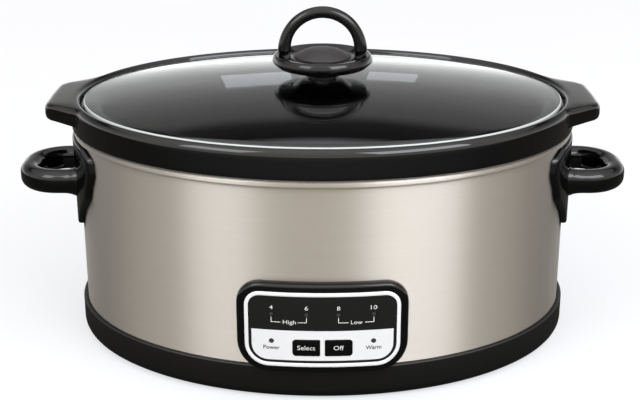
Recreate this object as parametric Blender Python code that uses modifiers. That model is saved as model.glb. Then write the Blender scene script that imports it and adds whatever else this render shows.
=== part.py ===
"""Oval slow cooker: a heated base with a push-button panel, a lift-out stoneware crock and a glass lid.

Lengths are in metres, +Z is up and the panel faces -Y.  The floor is Z = 0 and the oval's
centre is X = Y = 0.
"""
import math

import bmesh
import bpy
from mathutils import Matrix, Vector

MM = 0.001
GAP = 0.3 * MM              # air between two pieces that touch
SCREW_CLEARANCE = 0.3 * MM  # between a screw's shank and its hole
OVAL_SEGMENTS = 48
ROUND_SEGMENTS = 20
ARC_STEPS = 4

# Driving dimensions of the heated base.
HALF_LENGTH = 182 * MM      # steel band, outer face, along X
HALF_DEPTH = 142 * MM       # steel band, outer face, along Y
BAND_TOP = 157.2 * MM
BAND_SHEET = 0.8 * MM
BAND_LIP = 2.5 * MM         # how far the rolled top lip stands out
BAND_LIP_HEIGHT = 4.6 * MM
BASE_OUTSET = 3.5 * MM      # plastic base beyond the band
BASE_TOP = 25 * MM
BASE_LEDGE = 20 * MM
BASE_WALL = 4 * MM          # inner side of the base wall, inside the band's outer face
BASE_FLOOR = 4.5 * MM
BASE_FLOOR_SHEET = 2.5 * MM
BASE_ROUND = Vector((10.5 * MM, 7.2 * MM))
BASE_OPENING_INSET = 62 * MM
SKIRT_LAND = 16 * MM
SKIRT_REACH = HALF_LENGTH - 17 * MM   # the foot skirt is cut away beyond this X
SKIRT_END_LIFT = 4 * MM
FOOT_PROUD = 0.8 * MM
FOOT_RADIUS = 6 * MM
FOOT_POCKET = 1.8 * MM
PLATE_SHEET = 1 * MM
PLATE_LAP = 10 * MM
VENT_SLOTS = 5
VENT_FIRST_X = -92 * MM
VENT_PITCH = 10 * MM
VENT_WIDTH = 4 * MM
VENT_HALF_LENGTH = 24 * MM

# Heated well.
LINER_SHEET = 0.7 * MM
LINER_TOP_INSET = 11 * MM
LINER_FOOT_INSET = 20.5 * MM
LINER_FLOOR = 42 * MM
LINER_CORNER = 5 * MM
LINER_CORNER_INSET = 13 * MM
LINER_RIM_REACH = 1.8 * MM
HEATER_LOW = 60 * MM
HEATER_HIGH = BAND_TOP - 42.2 * MM
HEATER_THICKNESS = 2 * MM
STRAP_SHEET = 0.6 * MM
STRAP_WIDTH = 8 * MM
STRAP_END_INSET = 8 * MM
WRAP_LOW = 46 * MM
WRAP_HIGH = BAND_TOP - 21.2 * MM
WRAP_THICKNESS = 5 * MM

# Crock.
CROCK_RIM_OUTSET = 3.7 * MM
CROCK_RIM_TOP = BAND_TOP + 22.1 * MM
CROCK_SKIRT_HEIGHT = 16.5 * MM
CROCK_WALL = 7 * MM
CROCK_TOP_INSET = 14.5 * MM
CROCK_FOOT_INSET = 27 * MM
CROCK_FLOOR_SHEET = 8 * MM
CROCK_HANG = 5 * MM         # between the crock and the well's floor
EAR_REACH = 20.2 * MM
EAR_TOP = CROCK_RIM_TOP - 1.3 * MM
EAR_THICKNESS = 12.6 * MM
EAR_HALF_ROOT = 50 * MM
EAR_HALF_TIP = 30 * MM
EAR_CORNER = 12 * MM
EAR_SLANT = 60              # degrees that each outer corner turns through

# Lid.
LID_HALF_LENGTH = HALF_LENGTH - 5.5 * MM
LID_HALF_DEPTH = HALF_DEPTH - 8 * MM
LID_EDGE_TOP = CROCK_RIM_TOP - 1.7 * MM
LID_GLASS = 4 * MM
LID_RISE = 13.4 * MM
LID_SCREW_RADIUS = 2.5 * MM
LID_SCREW_LENGTH = 16 * MM
LID_SEAT_PLAY = 2.2 * MM    # between the lid's edge and the wall of its seat
LID_SEAT_LAND = 9 * MM
LID_EDGE_ROUND = 1.6 * MM
LID_SCREW_HEAD = Vector((5 * MM, 2.6 * MM))
LID_WASHER_RADIUS = 8 * MM
LID_WASHER_SHEET = 0.8 * MM
LID_SEAL_SHEET = 0.9 * MM
KNOB_RADIUS = 36.8 * MM
KNOB_UNDER = LID_EDGE_TOP + LID_RISE + 8 * MM
KNOB_TOP = KNOB_UNDER + 11 * MM
KNOB_DOME_RADIUS = KNOB_RADIUS - 10.8 * MM
KNOB_NECK_RADIUS = 11 * MM
LOOP_RADIUS = KNOB_RADIUS - 8.8 * MM
LOOP_BAR_RADIUS = 4.7 * MM
LOOP_CENTRE = KNOB_TOP + 0.5 * MM
LOOP_STEPS = 16

# Side handles.
HANDLE_REACH = 45.3 * MM
HANDLE_HALF_WIDTH = 36.5 * MM
HANDLE_BAR = 13.7 * MM
HANDLE_CORNER = 27 * MM
HANDLE_LOW = BAND_TOP - 45.7 * MM
HANDLE_HIGH = BAND_TOP - 30.2 * MM
HANDLE_ROUND = 4.5 * MM
HANDLE_PLATE = 3.7 * MM
# Half of the handle plate's outline, in millimetres: Y and the depth below the band's top.
SHIELD = (
    (0, 75.2), (30, 73.2), (38, 62.2), (55, 45.2), (60, 36.2),
    (66.5, 23.2), (67, 13.2), (62, 6.2), (50, 3.2),
)
HANDLE_SCREW_Y = 24 * MM
HANDLE_SCREW_RADIUS = 1.9 * MM
HANDLE_SCREW_HEAD = Vector((3.6 * MM, 2.2 * MM))   # radius and height
HANDLE_SCREW_LENGTH = 16 * MM

# Control panel.
PANEL_HALF_WIDTH = 57.5 * MM
PANEL_LOW = BASE_TOP + GAP
PANEL_HIGH = 90 * MM
PANEL_OUTSET = 12.2 * MM    # front of the housing beyond the band
PANEL_WALL = 2.5 * MM
PANEL_TOP_RADIUS = 16 * MM
PANEL_FOOT_RADIUS = 21 * MM
PANEL_SCREW_RADIUS = 1.5 * MM
PANEL_SCREW_HEAD = Vector((2.8 * MM, 2 * MM))
PANEL_SCREW_LENGTH = 7 * MM
CABLE_WINDOW_HALF = Vector((20 * MM, 12 * MM))
POCKET_SIDE = 13.5 * MM     # solid sides of the housing, which take its screws
RING_MARGIN = 5.5 * MM
RING_WIDTH = 2.6 * MM
RING_THICKNESS = 1 * MM
LABEL_THICKNESS = 0.5 * MM
LABEL_SPLIT = 57.5 * MM
BUTTON_X = 10.8 * MM
BUTTON_Z = 44.9 * MM
BUTTON_HALF_WIDTH = 8.9 * MM
BUTTON_HALF_HEIGHT = 5.7 * MM
BUTTON_CORNER = 1.6 * MM
BUTTON_PROUD = 0.3 * MM     # beyond the label
BUTTON_CLEARANCE = 0.4 * MM
BUTTON_FLANGE = 1.2 * MM
BUTTON_TRAVEL = 0.5 * MM
TIME_LIGHT_Z = 69 * MM
POWER_LIGHT_Z = 49.4 * MM
OUTER_LIGHT_X = 34 * MM
INNER_LIGHT_X = 10.6 * MM
LIGHT_RADIUS = 1.4 * MM
BOARD_SHEET = 1.6 * MM
BOARD_HALF_WIDTH = 40 * MM
SWITCH_SIZE = 6 * MM
SWITCH_HEIGHT = 2.8 * MM
PLUNGER_RADIUS = 1.5 * MM

# Electrics under the well.
POWER_BOARD_SIZE = Vector((72 * MM, 54 * MM, BOARD_SHEET))
POWER_BOARD_X = 56 * MM
STANDOFF_HEIGHT = 6 * MM
CARRIER_SHEET = 1.5 * MM
STANDOFF_RADIUS = 3 * MM
STANDOFF_INSET = 5 * MM
RELAY_LOW = Vector((26 * MM, -20 * MM))
RELAY_SIZE = Vector((19 * MM, 16 * MM, 15 * MM))
TRANSFORMER_LOW = Vector((54 * MM, -18 * MM))
TRANSFORMER_SIZE = Vector((30 * MM, 26 * MM, 21 * MM))
CAPACITOR_PLACE = Vector((36 * MM, 12 * MM))
CAPACITOR_RADIUS = 5 * MM
CAPACITOR_HEIGHT = 14 * MM
SENSOR_X = -40 * MM
SENSOR_RADIUS = 7 * MM
SENSOR_HEIGHT = 6 * MM
CLIP_SIZE = Vector((32 * MM, 10 * MM, 1 * MM))
FUSE_Y = 30 * MM
FUSE_RADIUS = 2.2 * MM
FUSE_HALF_LENGTH = 10 * MM
STUD_RADIUS = 3 * MM
NUT_RADIUS = 6 * MM
NUT_HEIGHT = 3.4 * MM
PLATE_SCREW_RADIUS = 1.6 * MM
PLATE_SCREW_HEAD = Vector((3.2 * MM, 2 * MM))
PLATE_SCREW_LENGTH = 6 * MM
GLAND_RADIUS = 6.6 * MM
GLAND_STEM_RADIUS = 5 * MM
GLAND_BORE_RADIUS = 2.8 * MM
GLAND_FLANGE = 2.5 * MM
GLAND_SLACK = 0.8 * MM      # the base wall curves away behind the flat flange

# Heights and outsets that follow from the sizes above.
LINER_RIM = BAND_TOP + GAP
CROCK_RIM_LOW = LINER_RIM + LINER_SHEET + GAP
CROCK_UNDER = LINER_FLOOR + LINER_SHEET + CROCK_HANG
RING_OUTSET = PANEL_OUTSET + GAP + RING_THICKNESS
LABEL_OUTSET = PANEL_OUTSET + GAP + LABEL_THICKNESS
PANEL_SOLID_FROM = PANEL_OUTSET - PANEL_WALL
BOARD_FRONT = -(HALF_DEPTH + 2 * GAP + BOARD_SHEET)
SWITCH_FRONT = BOARD_FRONT - GAP - SWITCH_HEIGHT
LID_CENTRE_TOP = LID_EDGE_TOP + LID_RISE
LID_CENTRE_LOW = LID_CENTRE_TOP - LID_GLASS
LID_SCREW_SEAT = LID_CENTRE_LOW - LID_WASHER_SHEET - 2 * GAP
KNOB_FOOT = LID_CENTRE_TOP + LID_SEAL_SHEET + 2 * GAP
PLATE_LOW = BASE_FLOOR + BASE_FLOOR_SHEET + GAP
GLAND_HEIGHT = BASE_FLOOR + BASE_FLOOR_SHEET + GLAND_RADIUS + GAP

for leftover in list(bpy.data.objects):
    bpy.data.objects.remove(leftover)

PARTS = bpy.data.collections.new("slow_cooker")
CUTTERS = bpy.data.collections.new("cutters")
bpy.context.scene.collection.children.link(PARTS)
bpy.context.scene.collection.children.link(CUTTERS)


def finish(name, colour, roughness, metallic=0.0, alpha=1.0):
    """Make a plain Principled material."""
    material = bpy.data.materials.new(name)
    material.use_nodes = True
    shader = material.node_tree.nodes["Principled BSDF"]
    shader.inputs["Base Color"].default_value = (*colour, 1.0)
    shader.inputs["Roughness"].default_value = roughness
    shader.inputs["Metallic"].default_value = metallic
    shader.inputs["Alpha"].default_value = alpha
    return material


BRUSHED_STEEL = finish("brushed_steel", (0.56, 0.54, 0.50), 0.32, 1.0)
PLATED_STEEL = finish("plated_steel", (0.50, 0.50, 0.50), 0.40, 1.0)
BLACK_GLAZE = finish("black_glaze", (0.012, 0.012, 0.013), 0.08)
CLEAR_GLASS = finish("clear_glass", (0.85, 0.88, 0.88), 0.03, alpha=0.35)
GLOSS_BLACK = finish("gloss_black_plastic", (0.012, 0.012, 0.013), 0.15)
SATIN_BLACK = finish("satin_black_plastic", (0.018, 0.016, 0.017), 0.45)
WHITE_PLASTIC = finish("white_plastic", (0.85, 0.86, 0.87), 0.35)
SILVER_FILM = finish("silver_film", (0.72, 0.74, 0.76), 0.35, 0.2)
BLACK_FILM = finish("black_film", (0.012, 0.012, 0.012), 0.25)
SMOKED_LENS = finish("smoked_lens", (0.06, 0.05, 0.05), 0.15)
BLACK_RUBBER = finish("black_rubber", (0.02, 0.02, 0.02), 0.75)
GREEN_BOARD = finish("green_board", (0.03, 0.16, 0.07), 0.45)
HEATER_FOIL = finish("heater_foil", (0.55, 0.55, 0.56), 0.35, 0.9)
GLASS_WOOL = finish("glass_wool", (0.78, 0.74, 0.62), 0.95)
DARK_CASE = finish("dark_case", (0.03, 0.03, 0.035), 0.5)


def add_part(item, material, smooth=True):
    """Put a finished object among the parts, with its material and shading."""
    for holder in list(item.users_collection):
        holder.objects.unlink(item)
    PARTS.objects.link(item)
    item.data.materials.clear()
    item.data.materials.append(material)
    if smooth:
        item.data.shade_smooth()
        item.data.set_sharp_from_angle(angle=math.radians(35))
    return item


def add_cutter(item):
    """Put an object among the cutters, where neither a render nor the build sees it."""
    for holder in list(item.users_collection):
        holder.objects.unlink(item)
    CUTTERS.objects.link(item)
    item.hide_render = True
    item.display_type = "WIRE"
    return item


def boolean(item, other, operation="DIFFERENCE", solver="EXACT"):
    """Cut an object with another, or join or intersect the two."""
    modifier = item.modifiers.new(operation.lower(), "BOOLEAN")
    modifier.operation = operation
    modifier.solver = solver
    modifier.object = add_cutter(other)
    return item


def soften(item, width, segments=2, angle=50):
    """Round the edges that are sharper than an angle in degrees."""
    modifier = item.modifiers.new("rounded_edges", "BEVEL")
    modifier.width = width
    modifier.segments = segments
    modifier.limit_method = "ANGLE"
    modifier.angle_limit = math.radians(angle)
    return item


def oval_depth(outset, x):
    """Y of the front of the oval that lies an outset beyond the band, at a given X."""
    return -(HALF_DEPTH + outset) * math.sqrt(1 - (x / (HALF_LENGTH + outset)) ** 2)


def loft(name, sections, ring=False):
    """Loft level ovals (half length, half depth, height) into a ring, or a solid with two caps."""
    mesh = bmesh.new()
    loops = []
    for half_length, half_depth, height in sections:
        loop = []
        for index in range(OVAL_SEGMENTS):
            turn = math.tau * index / OVAL_SEGMENTS
            loop.append(mesh.verts.new((half_length * math.cos(turn), half_depth * math.sin(turn), height)))
        loops.append(loop)
    followers = loops[1:] + loops[:1] if ring else loops[1:]
    for loop, follower in zip(loops, followers):
        for index in range(OVAL_SEGMENTS):
            after = (index + 1) % OVAL_SEGMENTS
            mesh.faces.new((loop[index], loop[after], follower[after], follower[index]))
    if not ring:
        mesh.faces.new(loops[0])
        mesh.faces.new(loops[-1])
    bmesh.ops.recalc_face_normals(mesh, faces=mesh.faces)
    data = bpy.data.meshes.new(name)
    mesh.to_mesh(data)
    mesh.free()
    item = bpy.data.objects.new(name, data)
    CUTTERS.objects.link(item)
    return item


def around_band(profile):
    """Turn a profile of (outset beyond the band's outer face, height) into oval sections."""
    return [(HALF_LENGTH + outset, HALF_DEPTH + outset, height) for outset, height in profile]


def band_shell(name, inner, outer, low, high):
    """A wall that runs round the band between two outsets."""
    return loft(name, around_band([(outer, high), (outer, low), (inner, low), (inner, high)]), ring=True)


def slab(name, outlines, low, high, normal):
    """Extrude an outline, and any holes in it, from low to high along the normal: X, Y or Z."""
    curve = bpy.data.curves.new(name, "CURVE")
    curve.dimensions = "2D"
    curve.fill_mode = "BOTH"
    curve.extrude = (high - low) / 2
    for outline in outlines:
        spline = curve.splines.new("POLY")
        spline.points.add(len(outline) - 1)
        spline.use_cyclic_u = True
        for point, (u, v) in zip(spline.points, outline):
            point.co = (u, v, 0, 1)
    guide = bpy.data.objects.new(name, curve)
    PARTS.objects.link(guide)
    graph = bpy.context.evaluated_depsgraph_get()
    data = bpy.data.meshes.new_from_object(guide.evaluated_get(graph))
    bpy.data.objects.remove(guide)
    mesh = bmesh.new()
    mesh.from_mesh(data)
    bmesh.ops.remove_doubles(mesh, verts=mesh.verts, dist=0.001 * MM)
    turns = {
        "X": Matrix(((0, 0, 1), (1, 0, 0), (0, 1, 0))),
        "Y": Matrix(((1, 0, 0), (0, 0, -1), (0, 1, 0))),
        "Z": Matrix.Identity(3),
    }
    middle = (low + high) / 2
    shifts = {"X": Vector((middle, 0, 0)), "Y": Vector((0, middle, 0)), "Z": Vector((0, 0, middle))}
    mesh.transform(Matrix.Translation(shifts[normal]) @ turns[normal].to_4x4())
    bmesh.ops.recalc_face_normals(mesh, faces=mesh.faces)
    mesh.to_mesh(data)
    mesh.free()
    item = bpy.data.objects.new(name, data)
    CUTTERS.objects.link(item)
    return item


def rounded_outline(left, right, low, high, foot_radius, top_radius):
    """A rectangle's outline, anticlockwise, with one corner radius at its foot and one at its top."""
    corners = (
        (right - foot_radius, low + foot_radius, foot_radius, -90),
        (right - top_radius, high - top_radius, top_radius, 0),
        (left + top_radius, high - top_radius, top_radius, 90),
        (left + foot_radius, low + foot_radius, foot_radius, 180),
    )
    points = []
    for u, v, radius, start in corners:
        for step in range(ARC_STEPS + 1):
            turn = math.radians(start + 90 * step / ARC_STEPS)
            points.append((u + radius * math.cos(turn), v + radius * math.sin(turn)))
    return points


def box(name, low, high):
    """A box between two corners."""
    low, high = Vector(low), Vector(high)
    bpy.ops.mesh.primitive_cube_add(size=1, location=(low + high) / 2)
    item = bpy.context.object
    item.name = name
    item.data.transform(Matrix.Diagonal((*(high - low), 1)))
    return item


def cylinder(name, radius, start, end, segments=ROUND_SEGMENTS):
    """A cylinder from one point to another."""
    start, end = Vector(start), Vector(end)
    axis = end - start
    bpy.ops.mesh.primitive_cylinder_add(vertices=segments, radius=radius, depth=axis.length)
    item = bpy.context.object
    item.name = name
    item.location = (start + end) / 2
    item.rotation_mode = "QUATERNION"
    item.rotation_quaternion = axis.to_track_quat("Z", "Y")
    return item


def turned(name, profile, steps=ROUND_SEGMENTS):
    """Turn a profile of (radius, height), listed down its outer side, about Z."""
    data = bpy.data.meshes.new(name)
    points = [(radius, 0, height) for radius, height in profile]
    data.from_pydata(points, [(index, index + 1) for index in range(len(points) - 1)], [])
    item = bpy.data.objects.new(name, data)
    CUTTERS.objects.link(item)
    modifier = item.modifiers.new("turned", "SCREW")
    modifier.steps = steps
    modifier.render_steps = steps
    modifier.use_merge_vertices = True
    modifier.merge_threshold = 0.01 * MM
    return item


def as_mesh(item):
    """Replace an object's modifiers or curve by the mesh they make, where it stands."""
    bpy.context.view_layer.update()
    graph = bpy.context.evaluated_depsgraph_get()
    data = bpy.data.meshes.new_from_object(item.evaluated_get(graph))
    mesh = bmesh.new()
    mesh.from_mesh(data)
    bmesh.ops.remove_doubles(mesh, verts=mesh.verts, dist=0.001 * MM)
    mesh.to_mesh(data)
    mesh.free()
    solid = bpy.data.objects.new(item.name, data)
    solid.matrix_world = item.matrix_world.copy()
    CUTTERS.objects.link(solid)
    name = item.name
    bpy.data.objects.remove(item)
    solid.name = name
    return solid


def screw(name, seat, along, head, shank_radius, length):
    """A pan-head screw, seated at a point, whose shank runs along a direction; head is (radius, height)."""
    seat, along = Vector(seat), Vector(along)
    head_radius, head_height = head
    crown = head_height / 4
    profile = (
        (0, head_height),
        (head_radius * 0.6, head_height),
        (head_radius, head_height - crown),
        (head_radius, 0),
        (shank_radius, 0),
        (shank_radius, -length + shank_radius),
        (0, -length),
    )
    item = as_mesh(turned(name, profile, 16))
    item.rotation_mode = "QUATERNION"
    item.rotation_quaternion = (-along).to_track_quat("Z", "Y")
    item.location = seat
    return item


def make_base_tray():
    """Moulded base: outer wall, ledge for the band, floor ring and foot skirt."""
    inner_round = BASE_OUTSET - BASE_ROUND.x
    profile = [(BASE_OUTSET, BASE_TOP)]
    for step in range(ARC_STEPS + 1):
        turn = math.pi / 2 * step / ARC_STEPS
        outset = inner_round + BASE_ROUND.x * math.cos(turn)
        profile.append((outset, FOOT_PROUD + BASE_ROUND.y * (1 - math.sin(turn))))
    skirt_inner = inner_round - SKIRT_LAND
    profile += [
        (skirt_inner, FOOT_PROUD),
        (skirt_inner, BASE_FLOOR),
        (-BASE_OPENING_INSET, BASE_FLOOR),
        (-BASE_OPENING_INSET, BASE_FLOOR + BASE_FLOOR_SHEET),
        (-BASE_WALL, BASE_FLOOR + BASE_FLOOR_SHEET),
        (-BASE_WALL, BASE_LEDGE),
        (GAP, BASE_LEDGE),
        (GAP, BASE_TOP),
    ]
    tray = loft("base_tray", around_band(profile), ring=True)
    for side in (-1, 1):
        ends = sorted((side * SKIRT_REACH, side * (HALF_LENGTH + 2 * BASE_OUTSET)))
        low = (ends[0], -HALF_DEPTH, -BASE_FLOOR)
        boolean(tray, box("skirt_end_cutter", low, (ends[1], HALF_DEPTH, SKIRT_END_LIFT)))
    for x, y in foot_places():
        top = FOOT_PROUD + FOOT_POCKET
        boolean(tray, cylinder("foot_pocket", FOOT_RADIUS + GAP, (x, y, -FOOT_POCKET), (x, y, top)))
    for x, y in plate_screw_places():
        low = (x, y, BASE_FLOOR - GAP - PLATE_SHEET)
        high = (x, y, PLATE_LOW)
        boolean(tray, cylinder("plate_screw_hole", PLATE_SCREW_RADIUS + SCREW_CLEARANCE, low, high))
    inside = (0, HALF_DEPTH - 2 * BASE_WALL, GLAND_HEIGHT)
    outside = (0, HALF_DEPTH + 2 * BASE_OUTSET, GLAND_HEIGHT)
    boolean(tray, cylinder("gland_hole", GLAND_STEM_RADIUS + GAP, inside, outside))
    add_part(tray, SATIN_BLACK)


def foot_places():
    """Centres of the four feet, on the land of the skirt."""
    inset = BASE_ROUND.x - BASE_OUTSET + SKIRT_LAND / 2
    spread = math.sqrt(0.5)
    x = (HALF_LENGTH - inset) * spread
    y = (HALF_DEPTH - inset) * spread
    return [(side * x, end * y) for end in (-1, 1) for side in (-1, 1)]


def plate_screw_places():
    """Centres of the screws that hold the base plate on the rim of the floor opening."""
    inset = BASE_OPENING_INSET - PLATE_LAP / 2
    spread = math.sqrt(0.5)
    x = (HALF_LENGTH - inset) * spread
    y = (HALF_DEPTH - inset) * spread
    return [(side * x, end * y) for end in (-1, 1) for side in (-1, 1)]


def make_feet():
    """Four rubber pads that stand in pockets of the skirt."""
    names = ("foot_front_left", "foot_front_right", "foot_rear_left", "foot_rear_right")
    for name, (x, y) in zip(names, foot_places()):
        top = FOOT_PROUD + FOOT_POCKET - GAP
        add_part(cylinder(name, FOOT_RADIUS, (x, y, 0), (x, y, top)), BLACK_RUBBER)


def make_base_plate():
    """Steel plate over the floor opening, with vent slots and a hole for the tie stud."""
    outline = around_band([(PLATE_LAP - BASE_OPENING_INSET, 0)])[0]
    high = PLATE_LOW + PLATE_SHEET
    plate = loft("base_plate", [(outline[0], outline[1], PLATE_LOW), (outline[0], outline[1], high)])
    for index in range(VENT_SLOTS):
        x = VENT_FIRST_X + index * VENT_PITCH
        low = (x, -VENT_HALF_LENGTH, PLATE_LOW - MM)
        boolean(plate, box("vent_slot", low, (x + VENT_WIDTH, VENT_HALF_LENGTH, high + MM)))
    hole = cylinder("stud_hole", STUD_RADIUS + SCREW_CLEARANCE, (0, 0, PLATE_LOW - MM), (0, 0, high + MM))
    boolean(plate, hole)
    for x, y in plate_screw_places():
        low = (x, y, PLATE_LOW - MM)
        boolean(plate, cylinder("screw_hole", PLATE_SCREW_RADIUS + SCREW_CLEARANCE, low, (x, y, high + MM)))
    add_part(plate, PLATED_STEEL)


def make_plate_screws():
    """Screws driven up through the floor ring into the base plate."""
    for index, (x, y) in enumerate(plate_screw_places(), 1):
        seat = (x, y, BASE_FLOOR - GAP)
        name = f"base_plate_screw_{index}"
        bolt = screw(name, seat, (0, 0, 1), PLATE_SCREW_HEAD, PLATE_SCREW_RADIUS, PLATE_SCREW_LENGTH)
        add_part(bolt, PLATED_STEEL)


def make_tie_stud():
    """Stud from the well's floor through the base plate, and its nut."""
    low = PLATE_LOW - GAP - NUT_HEIGHT - MM
    stud = cylinder("tie_stud", STUD_RADIUS, (0, 0, low), (0, 0, LINER_FLOOR - GAP), 16)
    add_part(stud, PLATED_STEEL)
    top = PLATE_LOW - GAP
    nut = cylinder("tie_nut", NUT_RADIUS, (0, 0, top - NUT_HEIGHT), (0, 0, top), 6)
    bore_low = top - 2 * NUT_HEIGHT
    bore = cylinder("nut_bore", STUD_RADIUS + GAP, (0, 0, bore_low), (0, 0, top + NUT_HEIGHT), 16)
    add_part(boolean(nut, bore), PLATED_STEEL)


def make_outer_band():
    """Rolled steel band with a lip round its top, a cable window and holes for screws."""
    lip_low = BAND_TOP - BAND_LIP_HEIGHT
    profile = (
        (0, BASE_LEDGE + GAP),
        (0, lip_low),
        (0.4 * BAND_LIP, lip_low + 0.25 * BAND_LIP_HEIGHT),
        (BAND_LIP, lip_low + 0.45 * BAND_LIP_HEIGHT),
        (BAND_LIP, lip_low + 0.85 * BAND_LIP_HEIGHT),
        (0.7 * BAND_LIP, BAND_TOP),
        (-BAND_SHEET, BAND_TOP),
        (-BAND_SHEET, BASE_LEDGE + GAP),
    )
    band = loft("outer_band", around_band(profile), ring=True)
    low = (-CABLE_WINDOW_HALF.x, -HALF_DEPTH - MM, LABEL_SPLIT - CABLE_WINDOW_HALF.y)
    high = (CABLE_WINDOW_HALF.x, -HALF_DEPTH + 5 * MM, LABEL_SPLIT + CABLE_WINDOW_HALF.y)
    boolean(band, box("cable_window", low, high))
    for side in (-1, 1):
        for y in (-HANDLE_SCREW_Y, HANDLE_SCREW_Y):
            inside = (side * (HALF_LENGTH - HANDLE_SCREW_LENGTH), y, handle_middle())
            outside = (side * (HALF_LENGTH + HANDLE_SCREW_LENGTH), y, handle_middle())
            hole = cylinder("handle_screw_hole", HANDLE_SCREW_RADIUS + SCREW_CLEARANCE, inside, outside)
            boolean(band, hole)
    for x, z in panel_screw_places():
        inside = (x, -HALF_DEPTH + 20 * MM, z)
        outside = (x, -HALF_DEPTH - MM, z)
        hole = cylinder("panel_screw_hole", PANEL_SCREW_RADIUS + SCREW_CLEARANCE, inside, outside)
        boolean(band, hole)
    add_part(band, BRUSHED_STEEL)


def handle_middle():
    """Height of the side handles' middle."""
    return (HANDLE_LOW + HANDLE_HIGH) / 2


def liner_outset(height):
    """Outer face of the well's tapered wall, measured from the band's outer face."""
    share = (height - LINER_FLOOR - LINER_CORNER) / (BAND_TOP - LINER_FLOOR - LINER_CORNER)
    return -LINER_FOOT_INSET + share * (LINER_FOOT_INSET - LINER_TOP_INSET)


def make_well_liner():
    """Pressed steel well with a rim that lies on the band's top and carries the crock."""
    corner = LINER_FLOOR + LINER_CORNER
    neck = liner_outset(LINER_RIM)
    bend = -LINER_FOOT_INSET - 0.35 * LINER_CORNER
    bend_height = LINER_FLOOR + 0.2 * LINER_CORNER
    outer = [
        (-LINER_FOOT_INSET - LINER_CORNER_INSET, LINER_FLOOR),
        (bend, bend_height),
        (-LINER_FOOT_INSET, corner),
        (neck, LINER_RIM),
        (LINER_RIM_REACH, LINER_RIM),
    ]
    inner = [
        (LINER_RIM_REACH, LINER_RIM + LINER_SHEET),
        (neck - LINER_SHEET, LINER_RIM + LINER_SHEET),
        (-LINER_FOOT_INSET - LINER_SHEET, corner),
        (bend - LINER_SHEET, bend_height + LINER_SHEET),
        (-LINER_FOOT_INSET - LINER_CORNER_INSET, LINER_FLOOR + LINER_SHEET),
    ]
    add_part(loft("well_liner", around_band(outer + inner)), PLATED_STEEL)


def wall_on_liner(name, clearance, thickness, low, high):
    """A wall that hugs the tapered well between two heights."""
    profile = (
        (liner_outset(high) + clearance + thickness, high),
        (liner_outset(low) + clearance + thickness, low),
        (liner_outset(low) + clearance, low),
        (liner_outset(high) + clearance, high),
    )
    return loft(name, around_band(profile), ring=True)


def make_heater():
    """Wrap-round heater, the two straps that hold it and the glass-wool wrap."""
    add_part(wall_on_liner("heater_band", GAP, HEATER_THICKNESS, HEATER_LOW, HEATER_HIGH), HEATER_FOIL)
    over_heater = GAP + HEATER_THICKNESS + GAP
    low_strap = HEATER_LOW + STRAP_END_INSET
    high_strap = HEATER_HIGH - STRAP_END_INSET - STRAP_WIDTH
    for name, low in (("heater_strap_lower", low_strap), ("heater_strap_upper", high_strap)):
        strap = wall_on_liner(name, over_heater, STRAP_SHEET, low, low + STRAP_WIDTH)
        add_part(strap, PLATED_STEEL)
    inner = max(
        liner_outset(high_strap + STRAP_WIDTH) + over_heater + STRAP_SHEET,
        liner_outset(WRAP_HIGH),
    ) + GAP
    add_part(band_shell("insulation_wrap", inner, inner + WRAP_THICKNESS, WRAP_LOW, WRAP_HIGH), GLASS_WOOL)


def make_side_handle(name, side):
    """Moulded handle: a shield-shaped plate that hugs the band and a level finger loop."""
    right = [(y * MM, BAND_TOP - depth * MM) for y, depth in SHIELD]
    left = [(-y, z) for y, z in reversed(right[1:])]
    near = HALF_LENGTH - 2 * HANDLE_REACH
    ends = sorted((side * near, side * (HALF_LENGTH + HANDLE_REACH)))
    plate = slab(name, [right + left], ends[0], ends[1], "X")
    shell_top = BAND_TOP - BAND_LIP_HEIGHT - GAP
    shell = band_shell("handle_plate_shell", GAP, GAP + HANDLE_PLATE, BASE_TOP, shell_top)
    boolean(plate, shell, "INTERSECT")
    outer = loop_outline(HANDLE_REACH, HANDLE_HALF_WIDTH, HANDLE_CORNER)
    inner = loop_outline(
        HANDLE_REACH - HANDLE_BAR, HANDLE_HALF_WIDTH - HANDLE_BAR, HANDLE_CORNER - HANDLE_BAR
    )
    loop = slab("handle_loop", [on_side(outer + inner[::-1], side)], HANDLE_LOW, HANDLE_HIGH, "Z")
    soften(loop, HANDLE_ROUND)
    inside = loft("band_space", around_band([(GAP, BASE_TOP), (GAP, BAND_TOP + HANDLE_BAR)]))
    boolean(loop, inside)
    boolean(plate, loop, "UNION")
    for y in (-HANDLE_SCREW_Y, HANDLE_SCREW_Y):
        start = (side * (HALF_LENGTH - HANDLE_SCREW_LENGTH), y, handle_middle())
        end = (handle_screw_seat(side, y) + side * (HANDLE_SCREW_LENGTH + MM), y, handle_middle())
        boolean(plate, cylinder("handle_blind_hole", HANDLE_SCREW_RADIUS + SCREW_CLEARANCE, start, end))
    add_part(plate, GLOSS_BLACK)


def loop_outline(reach, half_width, radius):
    """One side of the D-shaped finger loop in plan, from inside the band round to its other end."""
    near = HALF_LENGTH - HANDLE_BAR
    centre = HALF_LENGTH + reach - radius
    points = [(near, -half_width)]
    for start, y in ((-90, radius - half_width), (0, half_width - radius)):
        for step in range(2 * ARC_STEPS + 1):
            turn = math.radians(start + 90 * step / (2 * ARC_STEPS))
            points.append((centre + radius * math.cos(turn), y + radius * math.sin(turn)))
    points.append((near, half_width))
    return points


def on_side(points, side):
    """An outline in plan as it is on the right, or mirrored to the left and still anticlockwise."""
    if side > 0:
        return points
    return [(-x, y) for x, y in reversed(points)]


def handle_screw_seat(side, y):
    """X of the seat of a handle screw, on the inner face of the band."""
    half_length = HALF_LENGTH - BAND_SHEET
    half_depth = HALF_DEPTH - BAND_SHEET
    edge = abs(y) + 4 * MM
    return side * (half_length * math.sqrt(1 - (edge / half_depth) ** 2) - GAP)


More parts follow.
